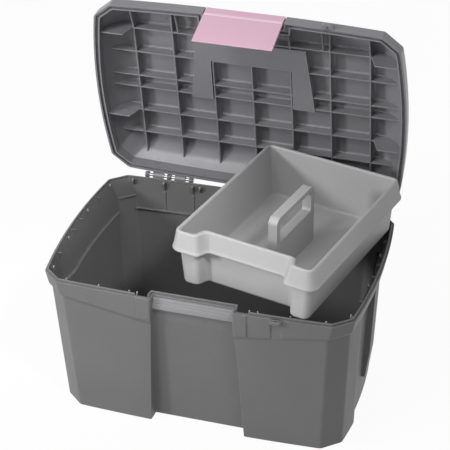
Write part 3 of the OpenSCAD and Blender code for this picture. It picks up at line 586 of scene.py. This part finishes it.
def make_fittings():
    """Ledges, stiffeners, padlock ear and hinge lugs of the body."""
    s = Shape()
    z = BOX_H - LEDGE_DROP
    cx, cy = front_x(in_x(z), WALL), end_y(in_y(z), WALL)
    outer, inner = body_plan(z - LEDGE_T, WALL - EMBED), body_plan(z - LEDGE_T, WALL + LEDGE_W)
    runs, run = [], []
    for o, i in zip(outer + outer[:1], inner + inner[:1]):
        if abs(o[0]) > cx and abs(o[1]) > cy:
            runs.append(run)
            run = []
        else:
            run.append((o, i))
    runs.append(run)
    for run in runs:
        if len(run) > 1:
            s.loft([[(*o, z - LEDGE_T), (*i, z - LEDGE_T), (*i, z), (*o, z)] for o, i in run])
    zc = BOX_H - CORNER_LEDGE_DROP
    xo, yo = front_x(in_x(zc), WALL - EMBED), end_y(in_y(zc), WALL - EMBED)
    xe, yf = end_x(in_x(zc), WALL - EMBED), front_y(in_y(zc), WALL - EMBED)
    for sx in (-1, 1):
        for sy in (-1, 1):
            set_back = END_SET if sy > 0 else 0
            s.prism([(sx * (xo - set_back), sy * yf), (sx * (xe - set_back), sy * yo),
                     (sx * (xe - set_back - CORNER_LEDGE_W), sy * yo),
                     (sx * (xo - set_back), sy * (yf - CORNER_LEDGE_W))], "z", zc - LEDGE_T, zc)

    # Stiffeners under the rim, deep at the top and shallow at the foot
    xf, yf = front_x(0, STIFFENER_IN), front_y(0, STIFFENER_IN)
    xe, ye = end_x(0, STIFFENER_IN), end_y(0, STIFFENER_IN)

    def gusset(wall, drop):
        """Side view of a stiffener, as distances from the middle and heights."""
        top = BOX_H - STIFFENER_DROP
        return [(wall, top), (wall - STIFFENER_DEPTH, top), (wall - STIFFENER_DEPTH, top - STIFFENER_NOSE),
                (wall - STIFFENER_DEPTH / 3, BOX_H - drop), (wall, BOX_H - drop)]

    half = STIFFENER_T / 2
    for sx in (-1, 1):
        for sy in (-1, 1):
            for share, drop in FRONT_STIFFENERS:
                x = sx * share * xf
                pts = gusset(yf + bow(FRONT_BOW, xf, x), drop)
                s.prism([(sy * y, h) for y, h in pts], "x", x - half, x + half)
            for share, drop in END_STIFFENERS:
                y = sy * share * ye
                pts = gusset(xe + bow(END_BOW, ye, y), drop)
                s.prism([(sx * x, h) for x, h in pts], "y", y - half, y + half)

    # Low upright ribs on the walls between the full stiffeners and the ledges
    top, low = BOX_H - STIFFENER_H, BOX_H - LEDGE_DROP - LEDGE_T
    places = [share * xf for share, drop in FRONT_STIFFENERS if drop == STIFFENER_H]
    for sx in (-1, 1):
        for sy in (-1, 1):
            for x in places:
                ys = [front_y(in_y(h), WALL) + bow(FRONT_BOW, front_x(in_x(h), WALL), x)
                      for h in (top, low)]
                pts = [(sy * (ys[0] + EMBED), top), (sy * (ys[0] - WALL_RIB_OUT), top),
                       (sy * (ys[1] - WALL_RIB_OUT), low), (sy * (ys[1] + EMBED), low)]
                s.prism(pts, "x", sx * x - WALL_RIB_W / 2, sx * x + WALL_RIB_W / 2)
    s.ear(BOX_H - EAR_T)

    # Hinge lugs
    back = front_y(0, 0) + bow(FRONT_BOW, front_x(0, 0), HINGE_X + LUG_PITCH)
    for sx in (-1, 1):
        for k in (-1, 0, 1):
            x = sx * HINGE_X + k * LUG_PITCH
            s.rod(LUG_R, x - LUG_W / 2, x + LUG_W / 2, (HINGE_Y, HINGE_Z), hole=PIN_R + PIN_SLIP)
            s.block(x - LUG_W / 2, x + LUG_W / 2, back - EMBED, HINGE_Y - PIN_R, HINGE_Z - LUG_R,
                    BOX_H - LUG_DROP)
    s.finish("body_fittings", HERE, BODY, "body", [], bevel=0.35)


def make_catch():
    """Sloping catch with fine ridges along it."""
    s = Shape()
    top = BOX_H - CATCH_DROP
    low = top - CATCH_H
    face = -recess_y(low) - CATCH_OUT
    start = -recess_y(top)
    slope = [(start + EMBED, top), (start, top)]
    ridge = ((-RIDGE_HALF, 0), (-RIDGE_HALF, RIDGE_H), (RIDGE_HALF, RIDGE_H), (RIDGE_HALF, 0))
    for k in range(1, RIDGES + 1):
        for d, rise in ridge:
            t = k / (RIDGES + 1) + d
            y = start + (face - start) * t - rise * RIDGE_OUT
            slope.append((y, top - CATCH_H * t + rise * RIDGE_UP))
    slope += [(face, low), (face, low - CATCH_LIP), (-recess_y(low) + EMBED, low - CATCH_LIP)]
    s.prism(slope, "x", -RECESS_TOP / 2, RECESS_TOP / 2)
    # Painted lighter than the body, as a sheen on the slope
    s.finish("catch_bar", HERE, CATCH_SHEEN, "body", [], bevel=0.15)


def make_pegs():
    """Short pegs on top of the stiffeners: on all of the long walls, on the stubs of the ends."""
    s = Shape()
    xf, yf = front_x(0, STIFFENER_IN), front_y(0, STIFFENER_IN)
    xe, ye = end_x(0, STIFFENER_IN), end_y(0, STIFFENER_IN)
    back = PEG_IN - STIFFENER_IN
    for sx in (-1, 1):
        for sy in (-1, 1):
            places = [(share * xf, yf + bow(FRONT_BOW, xf, share * xf) - back)
                      for share, _ in FRONT_STIFFENERS]
            places += [(xe + bow(END_BOW, ye, share * ye) - back, share * ye)
                       for share, drop in END_STIFFENERS if drop == STUB_H]
            for x, y in places:
                s.rod(PEG_R, BOX_H - PEG_ROOT, BOX_H + PEG_UP, (sx * x, sy * y), "z", 12, crown=PEG_CROWN)
    # Painted pale, as highlights
    s.finish("rim_pegs", HERE, PEG_HIGHLIGHT, "body", [], bevel=0)


# Lid
def lid_plan(inset, skin):
    """Outline of the lid, with the latch's notch."""
    return box_plan(inset, inset, skin, RECESS_TOP / 2, recess_y(BOX_H), PANEL_TOP, 0)


def lid_ring(depth, inset, skin):
    """Ring of the lid at a depth under its top."""
    return raised(lid_plan(inset, skin), LID_TOP - depth)


def inside_y(x, inset):
    """Front of the lid's outline, moved in, at the place x."""
    return front_y(0, inset) + bow(FRONT_BOW, front_x(0, inset), x)


def inside_x(y, inset):
    """End of the lid's outline, moved in, at the place y."""
    return end_x(0, inset) + bow(END_BOW, end_y(0, inset), y)


def pocket_plan(inset):
    """Outline of the handle's pocket, a bail with flared legs."""
    inner = HANDLE_GAP / 2 - POCKET_CLEAR - POCKET_WALL + inset
    front = PIVOT_Y - REACH - POCKET_CLEAR - POCKET_WALL + inset
    near = PIVOT_Y - REACH + GRIP_W + POCKET_CLEAR + POCKET_WALL - inset
    back = POCKET_BACK - inset
    wf = HANDLE_GAP / 2 + POCKET_WALL + POCKET_FLARE + POCKET_CLEAR - inset
    wb = wf + POCKET_FLARE
    return [(-wf, front), (wf, front), (wb, back), (inner, back), (inner, near), (-inner, near),
            (-inner, back), (-wb, back)]


def rib_section():
    """Half widths of a rib from its edge to the ceiling, flaring into a fillet at its root."""
    low, high = BOX_H + RIB_PLANE, LID_TOP - WALL
    half = RIB_T / 2 + RIB_TAPER
    sec = [(RIB_T / 2, low), (half, high - RIB_FILLET)]
    for k in range(1, FILLET_N + 1):
        a = math.radians(90 * k / FILLET_N)
        sec.append((half + RIB_FILLET * (1 - math.cos(a)), high - RIB_FILLET + RIB_FILLET * math.sin(a)))
    sec.append((half + RIB_FILLET, high + RIB_ROOT))
    return sec


def make_lid():
    """Shell of the lid with its rim groove, handle pocket, hinge barrels and padlock ear."""
    s = Shape()
    rim = lid_ring(LID_H - FLANGE_H, 0, LIP_IN)
    ceiling, middle = lid_ring(WALL, LID_IN, WALL), lid_ring(WALL, LID_IN + LID_BEND, WALL)
    start = blend(ceiling, rim, LID_BEND / math.hypot(LID_IN + WALL - LIP_IN, LID_H - FLANGE_H - WALL))
    bend = [blend(blend(start, ceiling, t), blend(ceiling, middle, t), t) for t in steps(0, 1, BEND_N)]
    rows = s.loft([
        lid_ring(0, LID_IN + LID_EDGE, 0),
        lid_ring(LID_EDGE * EDGE_SHARE, LID_IN + LID_EDGE * EDGE_SHARE, 0),
        lid_ring(LID_EDGE, LID_IN, 0),
        lid_ring(LID_H - FLANGE_H, FLANGE_STEP, 0),
        lid_ring(LID_H - FLANGE_H, FLANGE_EDGE, 0),
        lid_ring(LID_H - LID_GAP, 0, 0),
        lid_ring(LID_H - LID_GAP, 0, SKIRT_T),
        lid_ring(LID_H - GROOVE_H, 0, SKIRT_T),
        lid_ring(LID_H - GROOVE_H, 0, SKIRT_T + GROOVE_W),
        lid_ring(LID_H - INNER_LIP_GAP, 0, SKIRT_T + GROOVE_W),
        lid_ring(LID_H - INNER_LIP_GAP, 0, LIP_IN),
        rim,
    ] + bend, first=False)
    # Top face with the mouth of the handle pocket cut out of it
    mouth = [s.bm.verts.new((x, y, LID_TOP)) for x, y in pocket_plan(POCKET_WALL)]
    foot = [s.bm.verts.new((x, y, LID_TOP - POCKET_DEPTH)) for x, y in pocket_plan(POCKET_WALL)]
    for i in range(len(mouth)):
        j = (i + 1) % len(mouth)
        s.face([mouth[i], mouth[j], foot[j], foot[i]])
    s.face(foot)
    edges = []
    for loop in (rows[0], mouth):
        for i, v in enumerate(loop):
            w = loop[(i + 1) % len(loop)]
            edges.append(s.bm.edges.get((v, w)) or s.bm.edges.new((v, w)))
    bmesh.ops.triangle_fill(s.bm, use_beauty=True, edges=edges)
    # Underside of the pocket
    s.prism(pocket_plan(0), "z", LID_TOP - POCKET_DEPTH - POCKET_WALL, LID_TOP - WALL / 2)

    # Hinge barrels
    back = front_y(0, 0) + bow(FRONT_BOW, front_x(0, 0), HINGE_X) - SKIRT_T / 2
    for sx in (-1, 1):
        for k in (-1, 1):
            x = sx * HINGE_X + k * LUG_PITCH / 2
            s.rod(LUG_R, x - BARREL_W / 2, x + BARREL_W / 2, (HINGE_Y, HINGE_Z), hole=PIN_R + PIN_SLIP)
            s.block(x - BARREL_W / 2, x + BARREL_W / 2, back, HINGE_Y - PIN_R, HINGE_Z - LID_GAP,
                    HINGE_Z - LID_GAP + PLATE_T)
    s.ear(BOX_H + LID_GAP)
    s.finish("lid_shell", OPENED, LID, "lid", ["lid"], bevel=0.5)


def make_ribs():
    """Rib grid inside the lid, split around the handle pocket, and the webs at the rim."""
    s = Shape()
    ceiling = LID_IN + WALL
    plane = LIP_IN + (ceiling - LIP_IN) * (RIB_PLANE - FLANGE_H) / (LID_H - WALL - FLANGE_H)
    z_low, z_high = BOX_H + RIB_PLANE, LID_TOP - WALL
    sec = rib_section()
    outline = [(-u, z) for u, z in sec] + [(u, z) for u, z in reversed(sec)]

    def inset(z):
        """How far in a rib ends, a little inside the lid's sloping wall."""
        t = (z - z_low) / (z_high - z_low)
        return plane - EMBED + (ceiling - RIB_END_IN - plane + EMBED) * t

    def wall_y(x, z):
        """Back end of a rib."""
        return inside_y(x, inset(z))

    def wall_x(y, z):
        """Side end of a rib."""
        return inside_x(y, inset(z))

    def notch_slope(x, z):
        """Outside of the slope above the latch's notch."""
        fall = (z - BOX_H - FLANGE_H) / (LID_H - LID_EDGE - FLANGE_H)
        return recess_y(BOX_H) - (recess_y(BOX_H) - inside_y(x, LID_IN)) * fall

    def in_notch(x):
        """Whether the place x lies behind the notch."""
        return abs(x) < RECESS_TOP / 2 + LIP_IN

    def front_end(x, z):
        """Front end of a rib, which stops inside the notch's slope where it runs up to it."""
        return min(wall_y(x, z), notch_slope(x, z) - WALL / 2) if in_notch(x) else wall_y(x, z)

    def rib_y(x, a, b):
        """Rib from front to back, from a to b or, where these are None, from wall to wall."""
        s.loft([[(x + u, -front_end(x, z) if a is None else a, z) for u, z in outline],
                [(x + u, wall_y(x, z) if b is None else b, z) for u, z in outline]])

    def rib_x(y, a, b):
        """Rib from side to side, in the same way."""
        s.loft([[(-wall_x(y, z) if a is None else a, y + u, z) for u, z in outline],
                [(wall_x(y, z) if b is None else b, y + u, z) for u, z in outline]])

    pk = pocket_plan(RIB_INTO_POCKET)
    front, near, inner = pk[0][1], pk[4][1], pk[3][0]

    def leg(y):
        """Outside of the pocket's leg at the place y."""
        t = (y - pk[1][1]) / (pk[2][1] - pk[1][1])
        return pk[1][0] + (pk[2][0] - pk[1][0]) * t

    for i in range(-RIB_COUNT, RIB_COUNT + 1):
        x = i * RIB_PITCH
        if abs(x) < inner:
            rib_y(x, None, front)
            rib_y(x, near, None)
        else:
            rib_y(x, None, None)
    for y in RIB_ROWS:
        if front < y < POCKET_BACK:
            rib_x(y, None, -leg(y))
            rib_x(y, leg(y), None)
            rib_x(y, -inner, inner)
        else:
            rib_x(y, None, None)

    # Webs at the ends and along the front
    web_z, reach, front_row = BOX_H + GUSSET_GAP, GUSSET_FLAT + GUSSET_RUN, RIB_ROWS[0]
    for sx in (-1, 1):
        for row in WEB_ROWS:
            x, xl = inside_x(row, LIP_IN - EMBED), inside_x(row, plane - EMBED)
            pts = [(x, web_z), (x, BOX_H + WEB_TOP), (xl, z_low + EMBED), (x - reach, z_low + EMBED),
                   (x - reach, z_low), (x - GUSSET_FLAT, web_z)]
            s.prism([(sx * a, b) for a, b in pts], "y", row - RIB_T / 2, row + RIB_T / 2)
        for x in WEB_COLUMNS:
            if in_notch(x):
                yl = recess_y(BOX_H) - LIP_IN + EMBED
                yp = notch_slope(x, z_low + EMBED) - WALL / 2
            else:
                yl = inside_y(x, LIP_IN - EMBED)
                yp = inside_y(x, plane - EMBED)
            pts = [(-yl, BOX_H + WEB_RISE), (-yl, BOX_H + WEB_TOP), (-yp, z_low + EMBED),
                   (front_row, z_low + EMBED), (front_row, z_low)]
            s.prism(pts, "x", sx * x - RIB_T / 2, sx * x + RIB_T / 2)
    s.finish("lid_ribs", OPENED, LID, "lid", [], bevel=0.3)


# Latch
def make_latch():
    """Clip with its pin eye and hook, and a crease across its bend."""
    s = Shape()
    face = -BOX_D / 2 + LATCH_FACE_IN
    back = face + LATCH_T
    core = LATCH_T / 2
    top, low = LATCH_Z + LATCH_R, BOX_H - LATCH_DROP
    tan = math.tan(math.radians(LATCH_LEAN))
    hook_z = BOX_H - CATCH_DROP - CATCH_H - CATCH_LIP - LATCH_CLEAR
    hook_y = back + (BOX_H - hook_z) * tan
    tip = -(recess_y(BOX_H - CATCH_DROP - CATCH_H) + CATCH_OUT) - HOOK_GAP
    foot = face + LATCH_DROP * tan
    half = LATCH_W / 2
    s.prism([(face, top), (face, BOX_H), (foot, low), (foot + LATCH_EDGE, low),
             (foot + LATCH_T, low + LATCH_TAPER), (back, BOX_H), (back, top)], "x", -half, half)
    s.prism([(hook_y - core, hook_z), (tip, hook_z), (tip, hook_z - HOOK_H / 2),
             (hook_y, hook_z - 2 * HOOK_H), (hook_y - core, hook_z - 2 * HOOK_H)],
            "x", -half + HOOK_IN, half - HOOK_IN)
    s.prism([(face + core, LATCH_Z - LATCH_R), (LATCH_Y, LATCH_Z - LATCH_R),
             (LATCH_Y, LATCH_Z + LATCH_R), (face + core, LATCH_Z + LATCH_R)], "x", -half, half)
    s.rod(LATCH_R, -half, half, (LATCH_Y, LATCH_Z), hole=LATCH_PIN_R + PIN_SLIP)
    s.finish("latch_clip", OPENED, PINK, "latch", ["front_latch"],
             bevel=0.5, segments=3, angle=12)

    # Crease of two fine beads across the bend, painted paler than the clip as a highlight
    s = Shape()
    for z in (BOX_H - CREASE_GAP / 2, BOX_H + CREASE_GAP / 2):
        y = face + max(0, BOX_H - z) * tan
        s.rod(CREASE_R, CREASE_IN - half, half - CREASE_IN, (y, z), n=10, crown=CREASE_R / 2)
    s.finish("latch_crease", OPENED, CREASE_HIGHLIGHT, "latch", [], bevel=0)


# Handle
def make_handle():
    """Bail with rounded pivot ends and a short pivot pin on the inside of each leg."""
    s = Shape()
    inner, front = HANDLE_GAP / 2, PIVOT_Y - REACH
    near = front + GRIP_W
    wf = inner + POCKET_FLARE
    flare = POCKET_FLARE * (PIVOT_Y - front) / (POCKET_BACK - front)
    plan = [(-wf, front), (wf, front), (wf + flare, PIVOT_Y), (inner, PIVOT_Y), (inner, near),
            (-inner, near), (-inner, PIVOT_Y), (-wf - flare, PIVOT_Y)]
    s.prism(plan, "z", PIVOT_Z - HANDLE_T / 2, PIVOT_Z + HANDLE_T / 2)
    leg = POCKET_FLARE * (1 + REACH / (POCKET_BACK - PIVOT_Y + REACH))
    for sx in (-1, 1):
        mid = sx * (HANDLE_GAP + leg) / 2
        s.rod(HANDLE_T / 2, mid - leg / 2, mid + leg / 2, (PIVOT_Y, PIVOT_Z))
        mid = sx * (HANDLE_GAP / 2 - PIVOT_IN / 2 + leg / 4)
        s.rod(PIVOT_R, mid - PIVOT_IN / 2 - leg / 4, mid + PIVOT_IN / 2 + leg / 4, (PIVOT_Y, PIVOT_Z))
    s.finish("handle_bail", OPENED, LID, "handle", ["carry_handle"],
             bevel=2.2, segments=4, angle=30)


def make_pins():
    """Rods of the two hinges and of the latch."""
    length = 2 * LUG_PITCH + LUG_W + 2 * PIN_OVER
    for name, sx in (("left", -1), ("right", 1)):
        s = Shape()
        mid = sx * HINGE_X
        s.rod(PIN_R, mid - length / 2, mid + length / 2, (HINGE_Y, HINGE_Z), crown=PIN_CROWN)
        s.finish("hinge_rod_" + name, HERE, PIN, "body", ["hinge_pin_" + name], bevel=0)
    s = Shape()
    half = (RECESS_TOP + 2 * LATCH_PIN_IN - LATCH_PIN_PLAY) / 2
    s.rod(LATCH_PIN_R, -half, half, (LATCH_Y, LATCH_Z), crown=LATCH_PIN_CROWN)
    s.finish("latch_rod", OPENED, PIN, "lid", ["latch_pin"], bevel=0)


# Tray
def tray_plan(dx, dy, skin, arc=8):
    """Outline of the tray from the middle of its set-back front, with rounded steps and a straight back."""
    a, b = TRAY_W / 2 - dx - skin, TRAY_D / 2 - dy - skin
    r = max(TRAY_R - skin, TRAY_T)
    half = TRAY_MID / 2 + skin
    middle, inner, outer = (0, TRAY_SET - b), (half - TRAY_SLANT, TRAY_SET - b), (half, -b)
    angles = [math.radians(90 * k / arc) for k in range(arc + 1)]
    front_arc = [(a - r + r * math.sin(t), -b + r - r * math.cos(t)) for t in angles]
    back_arc = [(a - r + r * math.cos(t), b - r + r * math.sin(t)) for t in angles]
    right = [middle] + eased(middle, inner, outer, TRAY_EASE, TRAY_EASE_N)
    right += eased(inner, outer, front_arc[0], TRAY_EASE, TRAY_EASE_N)
    right += front_arc + [(a, y) for y in steps(r - b, b - r, TRAY_SIDE_N)[1:-1]] + back_arc
    right += [(x, b + bow(TRAY_SWELL, a - r, x)) for x in steps(a - r, 0, TRAY_BACK_N)[1:]]
    return right + [(-x, y) for x, y in reversed(right[1:-1])]


def make_tray():
    """Tray with its skirt and bead, and the upright handle in its middle."""
    s = Shape()

    def ring(z, dx, dy, skin):
        """Ring of the tray at a height."""
        return raised(tray_plan(dx, dy, skin), z)

    low, edge = TRAY_H - SKIRT_H, TRAY_RIM_W / 2
    lip = [ring(TRAY_H - edge * (1 - math.sin(a)), 0, 0, edge * (1 - math.cos(a)))
           for a in (math.radians(180 * k / TRAY_LIP_N) for k in range(TRAY_LIP_N + 1))]
    bead = [ring(low + z, 0, 0, back - SKIRT_FLARE) for z, back in BEAD]
    s.loft([
        ring(0, FOOT_IN_X, FOOT_IN_Y, TRAY_T / 2),
        ring(TRAY_T, FOOT_IN_X, FOOT_IN_Y, 0),
        ring(TRAY_H - NECK_DROP, 0, 0, TRAY_RIM_W - TRAY_T),
        ring(low + SKIRT_ROOT, 0, 0, TRAY_T - SKIRT_FLARE),
    ] + bead + lip + [
        ring(TRAY_T + TRAY_FILLET, FOOT_IN_X - FILLET_X, FOOT_IN_Y - FILLET_Y, TRAY_T),
        ring(TRAY_T + FILLET_MID, FOOT_IN_X, FOOT_IN_Y, TRAY_T + FILLET_MID),
        ring(TRAY_T, FOOT_IN_X, FOOT_IN_Y, TRAY_T + TRAY_FILLET),
    ])
    s.finish("tray_shell", TRAY_AT, TRAY, "tray", ["tray"], bevel=0.8, segments=3)

    # Handle with its hand slot
    s = Shape()

    def rounded(x0, x1, z0, z1, r, n=8):
        """Oblong with rounded corners."""
        pts = []
        corners = ((x1 - r, z0 + r, -90), (x1 - r, z1 - r, 0), (x0 + r, z1 - r, 90), (x0 + r, z0 + r, 180))
        for cx, cz, start in corners:
            angles = [math.radians(start + 90 * k / n) for k in range(n + 1)]
            pts += [(cx + r * math.cos(a), cz + r * math.sin(a)) for a in angles]
        return pts

    # Round at the top, square where it stands on the tray's floor
    half = POST_L / 2
    outer = []
    for x, z in rounded(-half, half, 0, POST_H, POST_R):
        side = x if z > POST_R else math.copysign(half, x)
        outer.append((side, max(z, TRAY_T / 2)))
    slot = rounded(-SLOT_L / 2, SLOT_L / 2, POST_H - SLOT_TOP - SLOT_H, POST_H - SLOT_TOP, SLOT_R)
    rings = []
    x0, x1 = POST_X, POST_X + POST_T
    for x, pts in ((x0, slot), (x0, outer), (x1, outer), (x1, slot), (x0, slot)):
        rings.append([(x, POST_Y + a, b) for a, b in pts])
    s.loft(rings, False, False)
    s.finish("tray_handle", TRAY_AT, TRAY, "tray", [], bevel=1.8, segments=4, angle=40)


make_body()
make_lip()
make_fittings()
make_catch()
make_pegs()
make_lid()
make_ribs()
make_latch()
make_handle()
make_pins()
make_tray()


# Floor, light and camera
def seen_rays(tree):
    """Socket that is 1 for rays from the camera, also by way of a gloss or through glass."""
    path = tree.nodes.new("ShaderNodeLightPath")
    seen = path.outputs["Is Camera Ray"]
    for kind in ("Is Glossy Ray", "Is Transmission Ray"):
        both = tree.nodes.new("ShaderNodeMath")
        both.operation = "MAXIMUM"
        tree.links.new(seen, both.inputs[0])
        tree.links.new(path.outputs[kind], both.inputs[1])
        seen = both.outputs[0]
    return seen


def make_floor():
    """Plain pale floor that keeps the shadow."""
    mesh = bpy.data.meshes.new("floor")
    r, z = FLOOR_HALF, -FLOOR_DROP
    mesh.from_pydata([(-r, -r, z), (r, -r, z), (r, r, z), (-r, r, z)], [], [(0, 1, 2, 3)])
    floor = bpy.data.objects.new("floor", mesh)
    bpy.context.scene.collection.objects.link(floor)
    mat = bpy.data.materials.new("floor_paper")
    mat.use_nodes = True
    nt = mat.node_tree
    bsdf = nt.nodes["Principled BSDF"]
    bsdf.inputs["Roughness"].default_value = 0.9
    bsdf.inputs["Specular IOR Level"].default_value = 0.1
    t = nt.nodes.new("ShaderNodeTexNoise")
    t.inputs["Scale"].default_value = 3
    ramp = nt.nodes.new("ShaderNodeValToRGB")
    ramp.color_ramp.elements[0].color = (0.7, 0.7, 0.7, 1)
    ramp.color_ramp.elements[1].color = (0.73, 0.73, 0.73, 1)
    nt.links.new(t.outputs["Fac"], ramp.inputs["Fac"])
    nt.links.new(ramp.outputs["Color"], bsdf.inputs["Base Color"])
    # Seen directly or in a gloss, the paper is most of the way to white and keeps a faint shadow
    share = nt.nodes.new("ShaderNodeMath")
    share.operation = "MULTIPLY"
    share.inputs[1].default_value = FLOOR_WHITE
    nt.links.new(seen_rays(nt), share.inputs[0])
    white = nt.nodes.new("ShaderNodeEmission")
    mixed = nt.nodes.new("ShaderNodeMixShader")
    nt.links.new(share.outputs[0], mixed.inputs["Fac"])
    nt.links.new(bsdf.outputs["BSDF"], mixed.inputs[1])
    nt.links.new(white.outputs["Emission"], mixed.inputs[2])
    nt.links.new(mixed.outputs["Shader"], nt.nodes["Material Output"].inputs["Surface"])
    mesh.materials.append(mat)


def make_light():
    """Even light from all around, white where it is seen, and the lamps."""
    world = bpy.data.worlds.new("studio")
    bpy.context.scene.world = world
    world.use_nodes = True
    wt = world.node_tree
    bg = wt.nodes["Background"]
    bg.inputs["Color"].default_value = (1, 1, 1, 1)
    glow = wt.nodes.new("ShaderNodeMapRange")
    glow.inputs["To Min"].default_value = WORLD_LIGHT
    glow.inputs["To Max"].default_value = 1
    wt.links.new(seen_rays(wt), glow.inputs["Value"])
    wt.links.new(glow.outputs["Result"], bg.inputs["Strength"])
    for name, kind, at, aim, watts, size in LAMPS:
        light = bpy.data.lights.new(name, kind)
        light.energy = watts
        if kind == "AREA":
            light.size = size
        else:
            light.spot_size = math.radians(SPOT_CONE)
            light.spot_blend = 1
            light.shadow_soft_size = size
        obj = bpy.data.objects.new(name, light)
        obj.location = at
        obj.visible_camera = False
        obj.rotation_euler = (Vector(aim) - Vector(at)).to_track_quat("-Z", "Y").to_euler()
        bpy.context.scene.collection.objects.link(obj)


def make_camera():
    """Camera at the photo's angle."""
    scene = bpy.context.scene
    scene.view_settings.view_transform = "Standard"
    scene.view_settings.look = "None"
    cam = bpy.data.cameras.new("camera")
    cam.sensor_width, cam.lens = CAM_SENSOR, CAM_LENS
    cam.clip_start, cam.clip_end = 0.05, 60
    obj = bpy.data.objects.new("camera", cam)
    scene.collection.objects.link(obj)
    a, e, roll = math.radians(CAM_AZIMUTH), math.radians(CAM_ELEVATION), math.radians(CAM_ROLL)
    back = Vector((math.sin(a) * math.cos(e), -math.cos(a) * math.cos(e), math.sin(e)))
    right = Vector((math.cos(a), math.sin(a), 0))
    up = back.cross(right)
    across = math.cos(roll) * right + math.sin(roll) * up
    upright = math.cos(roll) * up - math.sin(roll) * right
    m = Matrix((across, upright, back)).transposed().to_4x4()
    m.translation = Vector(CAM_PLACE)
    obj.matrix_world = m
    scene.camera = obj


make_floor()
make_light()
make_camera()
